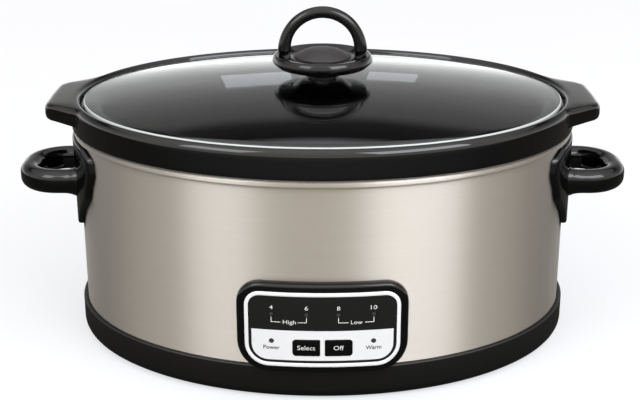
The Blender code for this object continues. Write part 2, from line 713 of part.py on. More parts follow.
def make_handle_screws(name, side):
    """Two screws from inside the band into a handle."""
    for index, y in enumerate((-HANDLE_SCREW_Y, HANDLE_SCREW_Y), 1):
        seat = (handle_screw_seat(side, y), y, handle_middle())
        bolt = screw(f"{name}_{index}", seat, (side, 0, 0), HANDLE_SCREW_HEAD, HANDLE_SCREW_RADIUS,
                     HANDLE_SCREW_LENGTH)
        add_part(bolt, PLATED_STEEL)


def panel_outline(inset):
    """Outline of the control panel, drawn in by an inset."""
    return rounded_outline(
        inset - PANEL_HALF_WIDTH, PANEL_HALF_WIDTH - inset,
        PANEL_LOW + inset, PANEL_HIGH - inset,
        PANEL_FOOT_RADIUS - inset, PANEL_TOP_RADIUS - inset,
    )


def panel_layer(name, outlines, inner, outer):
    """A layer of the panel: outlines cut out of a wall that runs round the band."""
    far = -(HALF_DEPTH + 2 * PANEL_OUTSET)
    layer = slab(name, outlines, far, -HALF_DEPTH / 2, "Y")
    shell = band_shell(name + "_shell", inner, outer, 0, PANEL_HIGH + PANEL_LOW)
    return boolean(layer, shell, "INTERSECT")


def button_outline(side, extra):
    """Outline of a button, or of its window when it is enlarged."""
    half_width = BUTTON_HALF_WIDTH + extra
    half_height = BUTTON_HALF_HEIGHT + extra
    middle = side * BUTTON_X
    radius = BUTTON_CORNER + extra
    return rounded_outline(
        middle - half_width, middle + half_width,
        BUTTON_Z - half_height, BUTTON_Z + half_height,
        radius, radius,
    )


def light_places():
    """Names and places (X, Z) of the indicator lights."""
    return (
        ("time_light_1", -OUTER_LIGHT_X, TIME_LIGHT_Z),
        ("time_light_2", -INNER_LIGHT_X, TIME_LIGHT_Z),
        ("time_light_3", INNER_LIGHT_X, TIME_LIGHT_Z),
        ("time_light_4", OUTER_LIGHT_X, TIME_LIGHT_Z),
        ("power_light", -OUTER_LIGHT_X, POWER_LIGHT_Z),
        ("warm_light", OUTER_LIGHT_X, POWER_LIGHT_Z),
    )


def light_hole(x, z):
    """Cutter for an indicator light's hole through the housing's front and the label."""
    far = -(HALF_DEPTH + 2 * PANEL_OUTSET)
    return cylinder("light_hole", LIGHT_RADIUS + GAP, (x, BOARD_FRONT - GAP, z), (x, far, z), 16)


def panel_screw_places():
    """Places (X, Z) of the screws that hold the housing on the band."""
    x = PANEL_HALF_WIDTH - POCKET_SIDE / 2
    middle = (PANEL_LOW + PANEL_HIGH) / 2
    return [(-x, middle), (x, middle)]


def make_control_housing():
    """Moulded housing on the band's front, hollow behind, with windows for buttons and lights."""
    housing = panel_layer("control_housing", [panel_outline(0)], GAP, PANEL_OUTSET)
    pocket_half = PANEL_HALF_WIDTH - POCKET_SIDE
    low = PANEL_LOW + PANEL_WALL
    high = PANEL_HIGH - PANEL_WALL
    pocket = rounded_outline(-pocket_half, pocket_half, low, high, 3 * MM, 3 * MM)
    boolean(housing, panel_layer("housing_pocket", [pocket], -5 * MM, PANEL_SOLID_FROM))
    for side in (-1, 1):
        window = slab("button_window", [button_outline(side, BUTTON_CLEARANCE)], -(HALF_DEPTH + 30 * MM),
                      -HALF_DEPTH - MM, "Y")
        boolean(housing, window)
    for _, x, z in light_places():
        boolean(housing, light_hole(x, z))
    for x, z in panel_screw_places():
        start = (x, -HALF_DEPTH + 20 * MM, z)
        end = (x, oval_depth(8 * MM, x), z)
        hole = cylinder("housing_screw_hole", PANEL_SCREW_RADIUS + SCREW_CLEARANCE, start, end)
        boolean(housing, hole)
    add_part(housing, GLOSS_BLACK)


def make_housing_screws():
    """Screws from inside the band into the housing's solid sides."""
    for name, (x, z) in zip(("housing_screw_left", "housing_screw_right"), panel_screw_places()):
        seat = (x, oval_depth(-BAND_SHEET, abs(x) + 3 * MM) + GAP, z)
        bolt = screw(name, seat, (0, -1, 0), PANEL_SCREW_HEAD, PANEL_SCREW_RADIUS, PANEL_SCREW_LENGTH)
        add_part(bolt, PLATED_STEEL)


def make_trim_ring():
    """Pale ring round the label, on the housing's front."""
    outlines = [panel_outline(RING_MARGIN), panel_outline(RING_MARGIN + RING_WIDTH)[::-1]]
    add_part(panel_layer("trim_ring", outlines, PANEL_OUTSET + GAP, RING_OUTSET), WHITE_PLASTIC)


def make_label(name, low, high, material):
    """Half of the printed label inside the ring, above or below the colour change."""
    inner = PANEL_OUTSET + GAP
    label = panel_layer(name, [panel_outline(RING_MARGIN + RING_WIDTH + GAP)], inner, LABEL_OUTSET)
    far = -(HALF_DEPTH + 2 * PANEL_OUTSET)
    half = box(name + "_half", (-PANEL_HALF_WIDTH, far, low), (PANEL_HALF_WIDTH, 0, high))
    boolean(label, half, "INTERSECT")
    for side in (-1, 1):
        if low < BUTTON_Z < high:
            window = slab("label_window", [button_outline(side, BUTTON_CLEARANCE)], far, 0, "Y")
            boolean(label, window)
    for _, x, z in light_places():
        if low < z < high:
            boolean(label, light_hole(x, z))
    add_part(label, material)


def make_lights():
    """Indicator lights: a lens on the board that shows through the label."""
    lights = []
    for name, x, z in light_places():
        front = oval_depth(LABEL_OUTSET + BUTTON_PROUD, x)
        lens = cylinder(name, LIGHT_RADIUS, (x, BOARD_FRONT - GAP, z), (x, front, z), 16)
        add_part(lens, SMOKED_LENS)
    return lights


def make_button(name, plunger_name, side):
    """Push button with a flange behind the housing's front, and the switch plunger it presses."""
    outer = LABEL_OUTSET + BUTTON_PROUD
    flange_front = PANEL_SOLID_FROM - GAP
    flange_back = flange_front - BUTTON_FLANGE
    cap = panel_layer(name, [button_outline(side, 0)], flange_back + BUTTON_FLANGE / 2, outer)
    flange_outline = button_outline(side, 3 * BUTTON_CLEARANCE)
    flange = panel_layer(name + "_flange", [flange_outline], flange_back, flange_front)
    boolean(cap, flange, "UNION")
    add_part(cap, GLOSS_BLACK)
    x = side * BUTTON_X
    rear = SWITCH_FRONT - BUTTON_TRAVEL - GAP
    front = oval_depth(flange_back, BUTTON_X + PLUNGER_RADIUS) + 2 * GAP
    plunger = cylinder(plunger_name, PLUNGER_RADIUS, (x, rear, BUTTON_Z), (x, front, BUTTON_Z), 16)
    add_part(plunger, DARK_CASE)
    return [cap, plunger]


def make_control_board():
    """Board behind the panel with its two switches."""
    low = PANEL_LOW + PANEL_WALL + MM
    high = PANEL_HIGH - PANEL_WALL - MM
    near = (-BOARD_HALF_WIDTH, BOARD_FRONT, low)
    far = (BOARD_HALF_WIDTH, BOARD_FRONT + BOARD_SHEET, high)
    add_part(box("control_board", near, far), GREEN_BOARD, smooth=False)
    for name, side in (("select_switch", -1), ("off_switch", 1)):
        x = side * BUTTON_X
        half = SWITCH_SIZE / 2
        corner = (x - half, SWITCH_FRONT, BUTTON_Z - half)
        switch = box(name, corner, (x + half, BOARD_FRONT - GAP, BUTTON_Z + half))
        add_part(soften(switch, 0.4 * MM, 1), DARK_CASE, smooth=False)


def make_power_board():
    """Power board on its moulded carrier, with its relay, transformer and capacitor."""
    foot = PLATE_LOW + PLATE_SHEET + GAP
    post_top = foot + STANDOFF_HEIGHT
    board_low = post_top + GAP
    half = POWER_BOARD_SIZE / 2
    low = (POWER_BOARD_X - half.x, -half.y, board_low)
    board_top = board_low + POWER_BOARD_SIZE.z
    board = box("power_board", low, (POWER_BOARD_X + half.x, half.y, board_top))
    add_part(board, GREEN_BOARD, smooth=False)
    carrier_low = (POWER_BOARD_X - half.x, -half.y, foot)
    carrier = box("board_carrier", carrier_low, (POWER_BOARD_X + half.x, half.y, foot + CARRIER_SHEET))
    for side in (-1, 1):
        for end in (-1, 1):
            x = POWER_BOARD_X + side * (half.x - STANDOFF_INSET)
            y = end * (half.y - STANDOFF_INSET)
            start = (x, y, foot + CARRIER_SHEET / 2)
            post = cylinder("carrier_post", STANDOFF_RADIUS, start, (x, y, post_top), 12)
            boolean(carrier, post, "UNION")
    add_part(carrier, SATIN_BLACK)
    seat = board_top + GAP
    for name, corner, size in (
        ("relay", RELAY_LOW, RELAY_SIZE), ("transformer", TRANSFORMER_LOW, TRANSFORMER_SIZE),
    ):
        corner = Vector((corner.x, corner.y, seat))
        add_part(soften(box(name, corner, corner + size), MM), DARK_CASE, smooth=False)
    foot = Vector((CAPACITOR_PLACE.x, CAPACITOR_PLACE.y, seat))
    head = foot + Vector((0, 0, CAPACITOR_HEIGHT))
    add_part(cylinder("capacitor", CAPACITOR_RADIUS, foot, head), DARK_CASE)


def make_sensor():
    """Temperature sensor under the well's floor on its spring clip, and the thermal fuse beside it."""
    top = LINER_FLOOR - GAP
    low = top - SENSOR_HEIGHT
    sensor = cylinder("temperature_sensor", SENSOR_RADIUS, (SENSOR_X, 0, low), (SENSOR_X, 0, top))
    add_part(soften(sensor, 0.8 * MM, 1), PLATED_STEEL)
    corner = Vector((SENSOR_X - CLIP_SIZE.x / 2, -CLIP_SIZE.y / 2, low - GAP - CLIP_SIZE.z))
    add_part(box("sensor_clip", corner, corner + CLIP_SIZE), PLATED_STEEL, smooth=False)
    start = (SENSOR_X - FUSE_HALF_LENGTH, FUSE_Y, top - FUSE_RADIUS)
    end = (SENSOR_X + FUSE_HALF_LENGTH, FUSE_Y, top - FUSE_RADIUS)
    add_part(cylinder("thermal_fuse", FUSE_RADIUS, start, end, 12), PLATED_STEEL)


def make_cord_gland():
    """Moulded gland in the rear of the base wall: inner flange, stem and outer collar with a bore."""
    wall_in = HALF_DEPTH - BASE_WALL - GLAND_SLACK
    wall_out = HALF_DEPTH + BASE_OUTSET + GAP
    tip = HALF_DEPTH + RING_OUTSET
    profile = (
        (GLAND_BORE_RADIUS, tip),
        (GLAND_RADIUS - 2 * MM, tip),
        (GLAND_RADIUS, wall_out + 2 * MM),
        (GLAND_RADIUS, wall_out),
        (GLAND_STEM_RADIUS, wall_out),
        (GLAND_STEM_RADIUS, wall_in),
        (GLAND_RADIUS, wall_in),
        (GLAND_RADIUS, wall_in - GLAND_FLANGE),
        (GLAND_BORE_RADIUS, wall_in - GLAND_FLANGE),
        (GLAND_BORE_RADIUS, tip),
    )
    gland = as_mesh(turned("cord_gland", profile))
    gland.rotation_euler = (-math.pi / 2, 0, 0)
    gland.location = (0, 0, GLAND_HEIGHT)
    add_part(gland, SATIN_BLACK)


def make_crock():
    """Glazed stoneware crock: tapered bowl, deep rim with a lid seat, and two lug handles."""
    rim = CROCK_RIM_OUTSET
    skirt_top = CROCK_RIM_LOW + CROCK_SKIRT_HEIGHT
    seat = LID_EDGE_TOP - LID_GLASS - GAP
    seat_out = LID_HALF_LENGTH - HALF_LENGTH + LID_SEAT_PLAY
    top_inner = -CROCK_TOP_INSET - CROCK_WALL
    foot_inner = -CROCK_FOOT_INSET - CROCK_WALL
    floor = CROCK_UNDER + CROCK_FLOOR_SHEET
    profile = (
        (-CROCK_FOOT_INSET - 12 * MM, CROCK_UNDER),
        (-CROCK_FOOT_INSET - 3 * MM, CROCK_UNDER + 1.5 * MM),
        (-CROCK_FOOT_INSET, CROCK_UNDER + 7 * MM),
        (-CROCK_TOP_INSET, CROCK_RIM_LOW),
        (rim, CROCK_RIM_LOW),
        (rim, skirt_top),
        (rim - 1.0 * MM, skirt_top + 2.6 * MM),
        (rim - 3.2 * MM, CROCK_RIM_TOP),
        (rim - 5.2 * MM, CROCK_RIM_TOP - 0.7 * MM),
        (seat_out, seat + 1.2 * MM),
        (seat_out - 1.2 * MM, seat),
        (seat_out - LID_SEAT_LAND, seat),
        (top_inner + 3 * MM, seat - 1.5 * MM),
        (top_inner, seat - 6 * MM),
        (foot_inner, floor + 7 * MM),
        (foot_inner - 3 * MM, floor + 1.5 * MM),
        (foot_inner - 12 * MM, floor),
    )
    crock = loft("crock", around_band(profile))
    for side in (-1, 1):
        ear = slab("crock_ear", [ear_outline(side)], EAR_TOP - EAR_THICKNESS, EAR_TOP, "Z")
        soften(ear, 3 * MM, angle=60)
        boolean(crock, ear, "UNION", "MANIFOLD")
    return [add_part(crock, BLACK_GLAZE)]


def ear_outline(side):
    """Lug handle in plan: a rounded trapezoid whose inner side lies inside the rim."""
    root = CROCK_RIM_OUTSET / 2
    half_turn = math.asin(EAR_HALF_ROOT / (HALF_DEPTH + root))
    points = []
    for step in range(2 * ARC_STEPS + 1):
        turn = half_turn * (1 - step / ARC_STEPS)
        points.append(((HALF_LENGTH + root) * math.cos(turn), (HALF_DEPTH + root) * math.sin(turn)))
    centre = HALF_LENGTH + EAR_REACH - EAR_CORNER
    for end in (-1, 1):
        for step in range(ARC_STEPS + 1):
            share = step / ARC_STEPS if end > 0 else 1 - step / ARC_STEPS
            turn = math.radians(end * EAR_SLANT * share)
            y = end * (EAR_HALF_TIP - EAR_CORNER)
            points.append((centre + EAR_CORNER * math.cos(turn), y + EAR_CORNER * math.sin(turn)))
    return on_side(points, side)


def lid_height(share):
    """Top of the glass at a share of the way from its centre to its edge."""
    return LID_EDGE_TOP + LID_RISE * (1 - share ** 2)


def make_lid_glass():
    """Domed tempered-glass lid with a rounded edge and a hole for the knob's screw."""
    shares = (0.1, 0.3, 0.5, 0.7, 0.85, 0.95)
    edge = LID_EDGE_ROUND
    sections = []
    for share in shares:
        low = lid_height(share) - LID_GLASS
        sections.append((LID_HALF_LENGTH * share, LID_HALF_DEPTH * share, low))
    low_edge = LID_EDGE_TOP - LID_GLASS
    sections.append((LID_HALF_LENGTH - edge, LID_HALF_DEPTH - edge, low_edge))
    sections.append((LID_HALF_LENGTH, LID_HALF_DEPTH, low_edge + edge))
    sections.append((LID_HALF_LENGTH, LID_HALF_DEPTH, LID_EDGE_TOP - edge / 2))
    sections.append((LID_HALF_LENGTH - edge, LID_HALF_DEPTH - edge, LID_EDGE_TOP + edge / 4))
    for share in reversed(shares):
        sections.append((LID_HALF_LENGTH * share, LID_HALF_DEPTH * share, lid_height(share)))
    glass = loft("lid_glass", sections)
    low = (0, 0, LID_CENTRE_LOW - 10 * MM)
    boolean(glass, cylinder("lid_hole", LID_SCREW_RADIUS + GAP, low, (0, 0, LID_CENTRE_TOP + 10 * MM)))
    return add_part(glass, CLEAR_GLASS)


def make_lid_knob():
    """Moulded knob: a neck, a finger disc with a domed centre, and an arched loop."""
    rim_top = KNOB_TOP - 3 * MM
    dome = KNOB_DOME_RADIUS
    profile = (
        (0, KNOB_TOP),
        (0.5 * dome, KNOB_TOP - 0.3 * MM),
        (dome, rim_top + MM),
        (dome + 1.5 * MM, rim_top),
        (KNOB_RADIUS - 3.4 * MM, rim_top - 0.3 * MM),
        (KNOB_RADIUS - 1 * MM, rim_top - 1.6 * MM),
        (KNOB_RADIUS, (rim_top + KNOB_UNDER) / 2),
        (KNOB_RADIUS - 1 * MM, KNOB_UNDER + 1.4 * MM),
        (KNOB_RADIUS - 4 * MM, KNOB_UNDER),
        (KNOB_NECK_RADIUS + 3 * MM, KNOB_UNDER),
        (KNOB_NECK_RADIUS, KNOB_UNDER - 2.5 * MM),
        (KNOB_NECK_RADIUS, KNOB_FOOT),
        (0, KNOB_FOOT),
    )
    knob = as_mesh(turned("lid_knob", profile, 32))
    boolean(knob, knob_loop(), "UNION")
    start = (0, 0, LID_SCREW_SEAT)
    end = (0, 0, LID_SCREW_SEAT + LID_SCREW_LENGTH + MM)
    boolean(knob, cylinder("knob_hole", LID_SCREW_RADIUS + SCREW_CLEARANCE, start, end))
    return add_part(knob, GLOSS_BLACK)


def knob_loop():
    """Arched bar over the disc: two short legs and a half circle."""
    curve = bpy.data.curves.new("knob_loop", "CURVE")
    curve.dimensions = "3D"
    curve.bevel_depth = LOOP_BAR_RADIUS
    curve.bevel_resolution = 2
    curve.use_fill_caps = True
    points = [(LOOP_RADIUS, KNOB_UNDER + 4 * MM)]
    for step in range(LOOP_STEPS + 1):
        turn = math.pi * step / LOOP_STEPS
        points.append((LOOP_RADIUS * math.cos(turn), LOOP_CENTRE + LOOP_RADIUS * math.sin(turn)))
    points.append((-LOOP_RADIUS, KNOB_UNDER + 4 * MM))
    spline = curve.splines.new("POLY")
    spline.points.add(len(points) - 1)
    for point, (x, z) in zip(spline.points, points):
        point.co = (x, 0, z, 1)
    bar = bpy.data.objects.new("knob_loop", curve)
    CUTTERS.objects.link(bar)
    return as_mesh(bar)


def make_lid_fixings():
    """Seal under the knob's neck, and the screw and washer under the glass."""
    bore = LID_SCREW_RADIUS + SCREW_CLEARANCE
    seal_low = LID_CENTRE_TOP + GAP
    seal_line = hollow_disc(KNOB_NECK_RADIUS, bore, seal_low, seal_low + LID_SEAL_SHEET)
    seal = as_mesh(turned("knob_seal", seal_line))
    washer_top = LID_CENTRE_LOW - GAP
    washer_low = washer_top - LID_WASHER_SHEET
    washer = as_mesh(turned("lid_washer", hollow_disc(LID_WASHER_RADIUS, bore, washer_low, washer_top)))
    seat = (0, 0, LID_SCREW_SEAT)
    bolt = screw("lid_screw", seat, (0, 0, 1), LID_SCREW_HEAD, LID_SCREW_RADIUS, LID_SCREW_LENGTH)
    return [add_part(seal, BLACK_RUBBER), add_part(washer, PLATED_STEEL), add_part(bolt, PLATED_STEEL)]


def hollow_disc(outer, inner, low, high):
    """Profile of a flat ring, down its outer side and back up its bore."""
    return ((inner, high), (outer, high), (outer, low), (inner, low), (inner, high))


def carry(name, place, items):
    """Hang pieces that move together on an empty on their joint's axis."""
    empty = bpy.data.objects.new(name, None)
    empty.location = place
    PARTS.objects.link(empty)
    for item in items:
        item.parent = empty
        item.matrix_parent_inverse = Matrix.Translation(-Vector(place))


make_base_tray()
make_feet()
make_base_plate()
make_plate_screws()
make_tie_stud()
make_outer_band()
make_well_liner()
make_heater()
make_side_handle("side_handle_left", -1)
make_side_handle("side_handle_right", 1)
make_handle_screws("handle_screw_left", -1)
make_handle_screws("handle_screw_right", 1)
make_control_housing()
make_housing_screws()
make_trim_ring()
make_label("label_upper", LABEL_SPLIT + GAP / 2, PANEL_HIGH, BLACK_FILM)
make_label("label_lower", PANEL_LOW, LABEL_SPLIT - GAP / 2, SILVER_FILM)
make_lights()
make_control_board()
make_power_board()
make_sensor()
make_cord_gland()
carry("crock_lift", (0, 0, CROCK_RIM_LOW), make_crock())
carry("lid_lift", (0, 0, LID_EDGE_TOP), [make_lid_glass(), make_lid_knob(), *make_lid_fixings()])
select_pieces = make_button("select_button", "select_plunger", -1)
carry("select_press", (-BUTTON_X, -HALF_DEPTH, BUTTON_Z), select_pieces)
off_pieces = make_button("off_button", "off_plunger", 1)
carry("off_press", (BUTTON_X, -HALF_DEPTH, BUTTON_Z), off_pieces)
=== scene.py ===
import math

import bmesh
import bpy
import numpy as np
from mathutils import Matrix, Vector


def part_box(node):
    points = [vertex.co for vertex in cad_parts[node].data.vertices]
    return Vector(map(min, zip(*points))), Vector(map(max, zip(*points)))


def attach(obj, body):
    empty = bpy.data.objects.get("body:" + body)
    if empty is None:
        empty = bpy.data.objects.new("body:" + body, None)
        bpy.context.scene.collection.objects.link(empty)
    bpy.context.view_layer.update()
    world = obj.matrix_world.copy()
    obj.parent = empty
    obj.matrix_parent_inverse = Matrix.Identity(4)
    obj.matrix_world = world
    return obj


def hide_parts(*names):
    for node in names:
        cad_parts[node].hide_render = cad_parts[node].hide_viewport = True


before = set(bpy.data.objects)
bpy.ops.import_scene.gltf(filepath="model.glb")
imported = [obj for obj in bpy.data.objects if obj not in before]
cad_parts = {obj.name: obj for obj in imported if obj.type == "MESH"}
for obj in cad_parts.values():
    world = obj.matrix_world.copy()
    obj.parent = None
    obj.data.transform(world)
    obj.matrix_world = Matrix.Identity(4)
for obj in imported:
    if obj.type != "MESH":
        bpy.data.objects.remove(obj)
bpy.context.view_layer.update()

# ---- Base tray -------------------------------------------------------------------------------
# The tray is the black foot of the heated base: one polypropylene moulding with a rounded lower
# edge, a ledge that the steel band stands on, and a foot skirt that is cut away at both ends.
MM = 0.001
BAND_LIP = 2.5 * MM
HALF_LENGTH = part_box("outer_band")[1].x - BAND_LIP
HALF_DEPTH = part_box("outer_band")[1].y - BAND_LIP
TRAY_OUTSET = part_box("base_tray")[1].x - HALF_LENGTH
TRAY_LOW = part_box("base_tray")[0].z
TRAY_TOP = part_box("base_tray")[1].z
TRAY_FLOOR = 4.5 * MM
TRAY_FLOOR_SHEET = 2.5 * MM
TRAY_LEDGE = 20 * MM
TRAY_OPENING_INSET = 62 * MM
TRAY_SKIRT_INSET = 23 * MM
TRAY_WALL = 4 * MM
BAND_FIT = 0.3 * MM
TRAY_ROUND = 7.4 * MM
SKIRT_END_FROM = 160 * MM
SKIRT_END_TO = 169 * MM
SKIRT_END_LIFT = 3.2 * MM
ROUND_TURNS = 256


def linear(code):
    """Turn an sRGB hex colour into linear RGBA."""
    channels = [int(code[place:place + 2], 16) / 255 for place in (0, 2, 4)]
    return tuple(c / 12.92 if c <= 0.04045 else ((c + 0.055) / 1.055) ** 2.4 for c in channels) + (1.0,)


def add(tree, kind, inputs=(), **settings):
    """Add a node with its settings; each input gets a value, or a link from the socket given."""
    node = tree.nodes.new(kind)
    for name, value in settings.items():
        setattr(node, name, value)
    for name, value in dict(inputs).items():
        if isinstance(value, bpy.types.NodeSocket):
            tree.links.new(value, node.inputs[name])
        else:
            node.inputs[name].default_value = value
    return node


def start_material(name, colour, roughness, metallic=0.0, **sockets):
    """Start a material from its Principled shader; returns the material, its tree and the shader."""
    material = bpy.data.materials.new(name)
    material.use_nodes = True
    shader = material.node_tree.nodes["Principled BSDF"]
    shader.inputs["Base Color"].default_value = linear(colour)
    shader.inputs["Roughness"].default_value = roughness
    shader.inputs["Metallic"].default_value = metallic
    for socket, value in sockets.items():
        shader.inputs[socket.replace("_", " ")].default_value = value
    return material, material.node_tree, shader


def glossed(tree, shader, share, low, high):
    """Vary the shader's roughness between two values by a share from 0 to 1."""
    sheen = add(tree, "ShaderNodeMapRange", {"Value": share, "To Min": low, "To Max": high})
    tree.links.new(sheen.outputs["Result"], shader.inputs["Roughness"])


def embossed(tree, shader, height, depth, strength=1.0):
    """Shade the surface as raised by up to a depth in metres where the height is 1."""
    relief = add(tree, "ShaderNodeBump", {"Height": height, "Strength": strength, "Distance": depth})
    tree.links.new(relief.outputs["Normal"], shader.inputs["Normal"])


def mottle(tree, shader, size, roughness, spread, depth):
    """Vary a moulded skin's roughness and relief over patches of a size in metres."""
    place = add(tree, "ShaderNodeTexCoord").outputs["Object"]
    grain = add(tree, "ShaderNodeTexNoise", {"Vector": place, "Scale": 1 / size, "Detail": 3.0}).outputs["Fac"]
    glossed(tree, shader, grain, roughness - spread, roughness + spread)
    embossed(tree, shader, grain, depth)


def start_tree(name, output, **inputs):
    """Start a geometry node tree with named inputs and an output; returns it and its inputs' sockets."""
    tree = bpy.data.node_groups.new(name, "GeometryNodeTree")
    for label, kind in inputs.items():
        tree.interface.new_socket(label.replace("_", " "), in_out="INPUT", socket_type="NodeSocket" + kind)
    tree.interface.new_socket(output, in_out="OUTPUT", socket_type="NodeSocketGeometry")
    return tree, add(tree, "NodeGroupInput").outputs


def end_tree(tree, output, geometry, finish):
    """End a geometry node tree: real mesh, with its finish, to the output."""
    real = add(tree, "GeometryNodeRealizeInstances", {"Geometry": geometry})
    finished = add(tree, "GeometryNodeSetMaterial", {"Geometry": real.outputs[0], "Material": finish})
    add(tree, "NodeGroupOutput", {output: finished.outputs[0]})
    return tree


def oval_turning_tree():
    """Nodes that sweep a profile of (outset, share of the oval, height) round an oval."""
    tree, start = start_tree("oval_turning", "Wall", Profile="Geometry", Half_Length="Float", Half_Depth="Float",
                             Turns="Int", Finish="Material")
    count = add(tree, "GeometryNodeAttributeDomainSize", {"Geometry": start["Profile"]}).outputs["Point Count"]
    columns = add(tree, "ShaderNodeMath", {0: start["Turns"], 1: 1.0}, operation="ADD").outputs[0]
    grid = add(tree, "GeometryNodeMeshGrid", {"Vertices X": columns, "Vertices Y": count})
    index = add(tree, "GeometryNodeInputIndex").outputs[0]
    column = add(tree, "ShaderNodeMath", {0: index, 1: count}, operation="DIVIDE").outputs[0]
    column = add(tree, "ShaderNodeMath", {0: column}, operation="FLOOR").outputs[0]
    row = add(tree, "ShaderNodeMath", {0: index, 1: count}, operation="MODULO").outputs[0]
    point = add(tree, "GeometryNodeSampleIndex", {
        "Geometry": start["Profile"], "Value": add(tree, "GeometryNodeInputPosition").outputs[0], "Index": row,
    }, data_type="FLOAT_VECTOR")
    outset, share, height = add(tree, "ShaderNodeSeparateXYZ", {0: point.outputs[0]}).outputs
    part_turn = add(tree, "ShaderNodeMath", {0: column, 1: start["Turns"]}, operation="DIVIDE").outputs[0]
    turn = add(tree, "ShaderNodeMath", {0: part_turn, 1: math.tau}, operation="MULTIPLY").outputs[0]
    ends = []
    for half, wave in (("Half Length", "COSINE"), ("Half Depth", "SINE")):
        reach = add(tree, "ShaderNodeMath", {0: start[half], 1: share, 2: outset}, operation="MULTIPLY_ADD")
        swing = add(tree, "ShaderNodeMath", {0: turn}, operation=wave)
        ends.append(add(tree, "ShaderNodeMath", {0: reach.outputs[0], 1: swing.outputs[0]}, operation="MULTIPLY"))
    place = add(tree, "ShaderNodeCombineXYZ", {"X": ends[0].outputs[0], "Y": ends[1].outputs[0], "Z": height})
    wall = add(tree, "GeometryNodeSetPosition", {"Geometry": grid.outputs["Mesh"], "Position": place.outputs[0]})
    rows = add(tree, "GeometryNodeStoreNamedAttribute", {
        "Geometry": wall.outputs[0], "Name": "profile_row", "Value": row,
    }, data_type="FLOAT", domain="POINT")
    closed = add(tree, "GeometryNodeMergeByDistance", {"Geometry": rows.outputs[0], "Distance": 0.002 * MM})
    return end_tree(tree, "Wall", closed.outputs[0], start["Finish"])


OVAL_TURNING = oval_turning_tree()


def run_nodes(name, guide, tree, **values):
    """Run a node tree on a guide mesh and return the plain mesh object that it makes."""
    item = bpy.data.objects.new(name, guide)
    bpy.context.scene.collection.objects.link(item)
    modifier = item.modifiers.new(tree.name, "NODES")
    modifier.node_group = tree
    for socket in tree.interface.items_tree:
        if socket.in_out == "INPUT" and socket.name in values:
            modifier[socket.identifier] = values[socket.name]
    return settled(item)


def settled(item):
    """Turn an object's modifiers, curve or text into a plain mesh at the origin."""
    bpy.context.view_layer.update()
    graph = bpy.context.evaluated_depsgraph_get()
    data = bpy.data.meshes.new_from_object(item.evaluated_get(graph))
    if len(data.materials) > 1 and data.materials[0] is None:
        data.materials.pop(index=0)
    name = item.name
    bpy.data.objects.remove(item)
    solid = bpy.data.objects.new(name, data)
    data.name = name
    bpy.context.scene.collection.objects.link(solid)
    return solid


def smooth(item, degrees=38):
    """Merge doubles, turn the faces outwards and shade smooth up to an angle."""
    mesh = bmesh.new()
    mesh.from_mesh(item.data)
    bmesh.ops.remove_doubles(mesh, verts=mesh.verts, dist=0.001 * MM)
    bmesh.ops.recalc_face_normals(mesh, faces=mesh.faces)
    mesh.to_mesh(item.data)
    mesh.free()
    item.data.shade_smooth()
    item.data.set_sharp_from_angle(angle=math.radians(degrees))
    return item


def rounded(corners, steps=6, closed=True):
    """Turn corners (across, height, radius) into a line whose corners are arcs."""
    points = []
    for index, (across, height, radius) in enumerate(corners):
        here = Vector((across, height))
        if radius == 0 or (not closed and index in (0, len(corners) - 1)):
            points.append(here)
            continue
        back = (Vector(corners[index - 1][:2]) - here).normalized()
        forth = (Vector(corners[(index + 1) % len(corners)][:2]) - here).normalized()
        half_angle = back.angle(forth) / 2
        centre = here + (back + forth).normalized() * radius / math.sin(half_angle)
        start = here + back * radius / math.tan(half_angle) - centre
        end = here + forth * radius / math.tan(half_angle) - centre
        sweep = start.angle(end)
        for step in range(steps + 1):
            share = step / steps
            arm = (start * math.sin((1 - share) * sweep) + end * math.sin(share * sweep)) / math.sin(sweep)
            points.append(centre + arm)
    return points


def turned(name, profile, finish, half_length=HALF_LENGTH, half_depth=HALF_DEPTH, turns=ROUND_TURNS):
    """Sweep a profile of (outset, height) or (outset, share, height) round an oval.

    With both halves 0 the oval is a circle and the outset is its radius.
    """
    points = [tuple(p) if len(p) == 3 else (p[0], 1.0, p[1]) for p in profile]
    guide = bpy.data.meshes.new(name)
    guide.from_pydata(points, [(index, index + 1) for index in range(len(points) - 1)], [])
    values = {"Half Length": half_length, "Half Depth": half_depth, "Turns": turns, "Finish": finish}
    return run_nodes(name, guide, OVAL_TURNING, **values)


def closed_loop(points):
    """A profile that comes back to its first point."""
    return list(points) + [points[0]]


def moved(item, change):
    """Move an object's vertices by a function of their coordinates, an array of rows."""
    places = np.empty(len(item.data.vertices) * 3, np.float32)
    item.data.vertices.foreach_get("co", places)
    places = change(places.reshape(-1, 3).astype(float))
    item.data.vertices.foreach_set("co", places.astype(np.float32).ravel())
    item.data.update()
    return item


def hand_over(item, body, slot, *nodes):
    """Give a finished piece its body and hide the CAD nodes that it stands for; the slot is not used."""
    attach(item, body)
    if nodes:
        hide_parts(*nodes)
    return item


def cut_skirt_ends(places):
    """Lift the foot skirt at both ends of the tray, where the real skirt is cut away."""
    share = np.clip((np.abs(places[:, 0]) - SKIRT_END_FROM) / (SKIRT_END_TO - SKIRT_END_FROM), 0, 1)
    lift = SKIRT_END_LIFT * share * share * (3 - 2 * share)
    low = places[:, 2] < TRAY_FLOOR - 0.1 * MM
    places[low, 2] = np.maximum(places[low, 2], TRAY_LOW + lift[low])
    return places


# Moulded polypropylene: charcoal black, a fine spark-eroded skin and a soft wide sheen.
SATIN_BLACK, tree, shader = start_material("moulded_polypropylene", "0B0A0A", 0.42, IOR=1.44)
mottle(tree, shader, 0.5 * MM, 0.42, 0.05, 0.02 * MM)

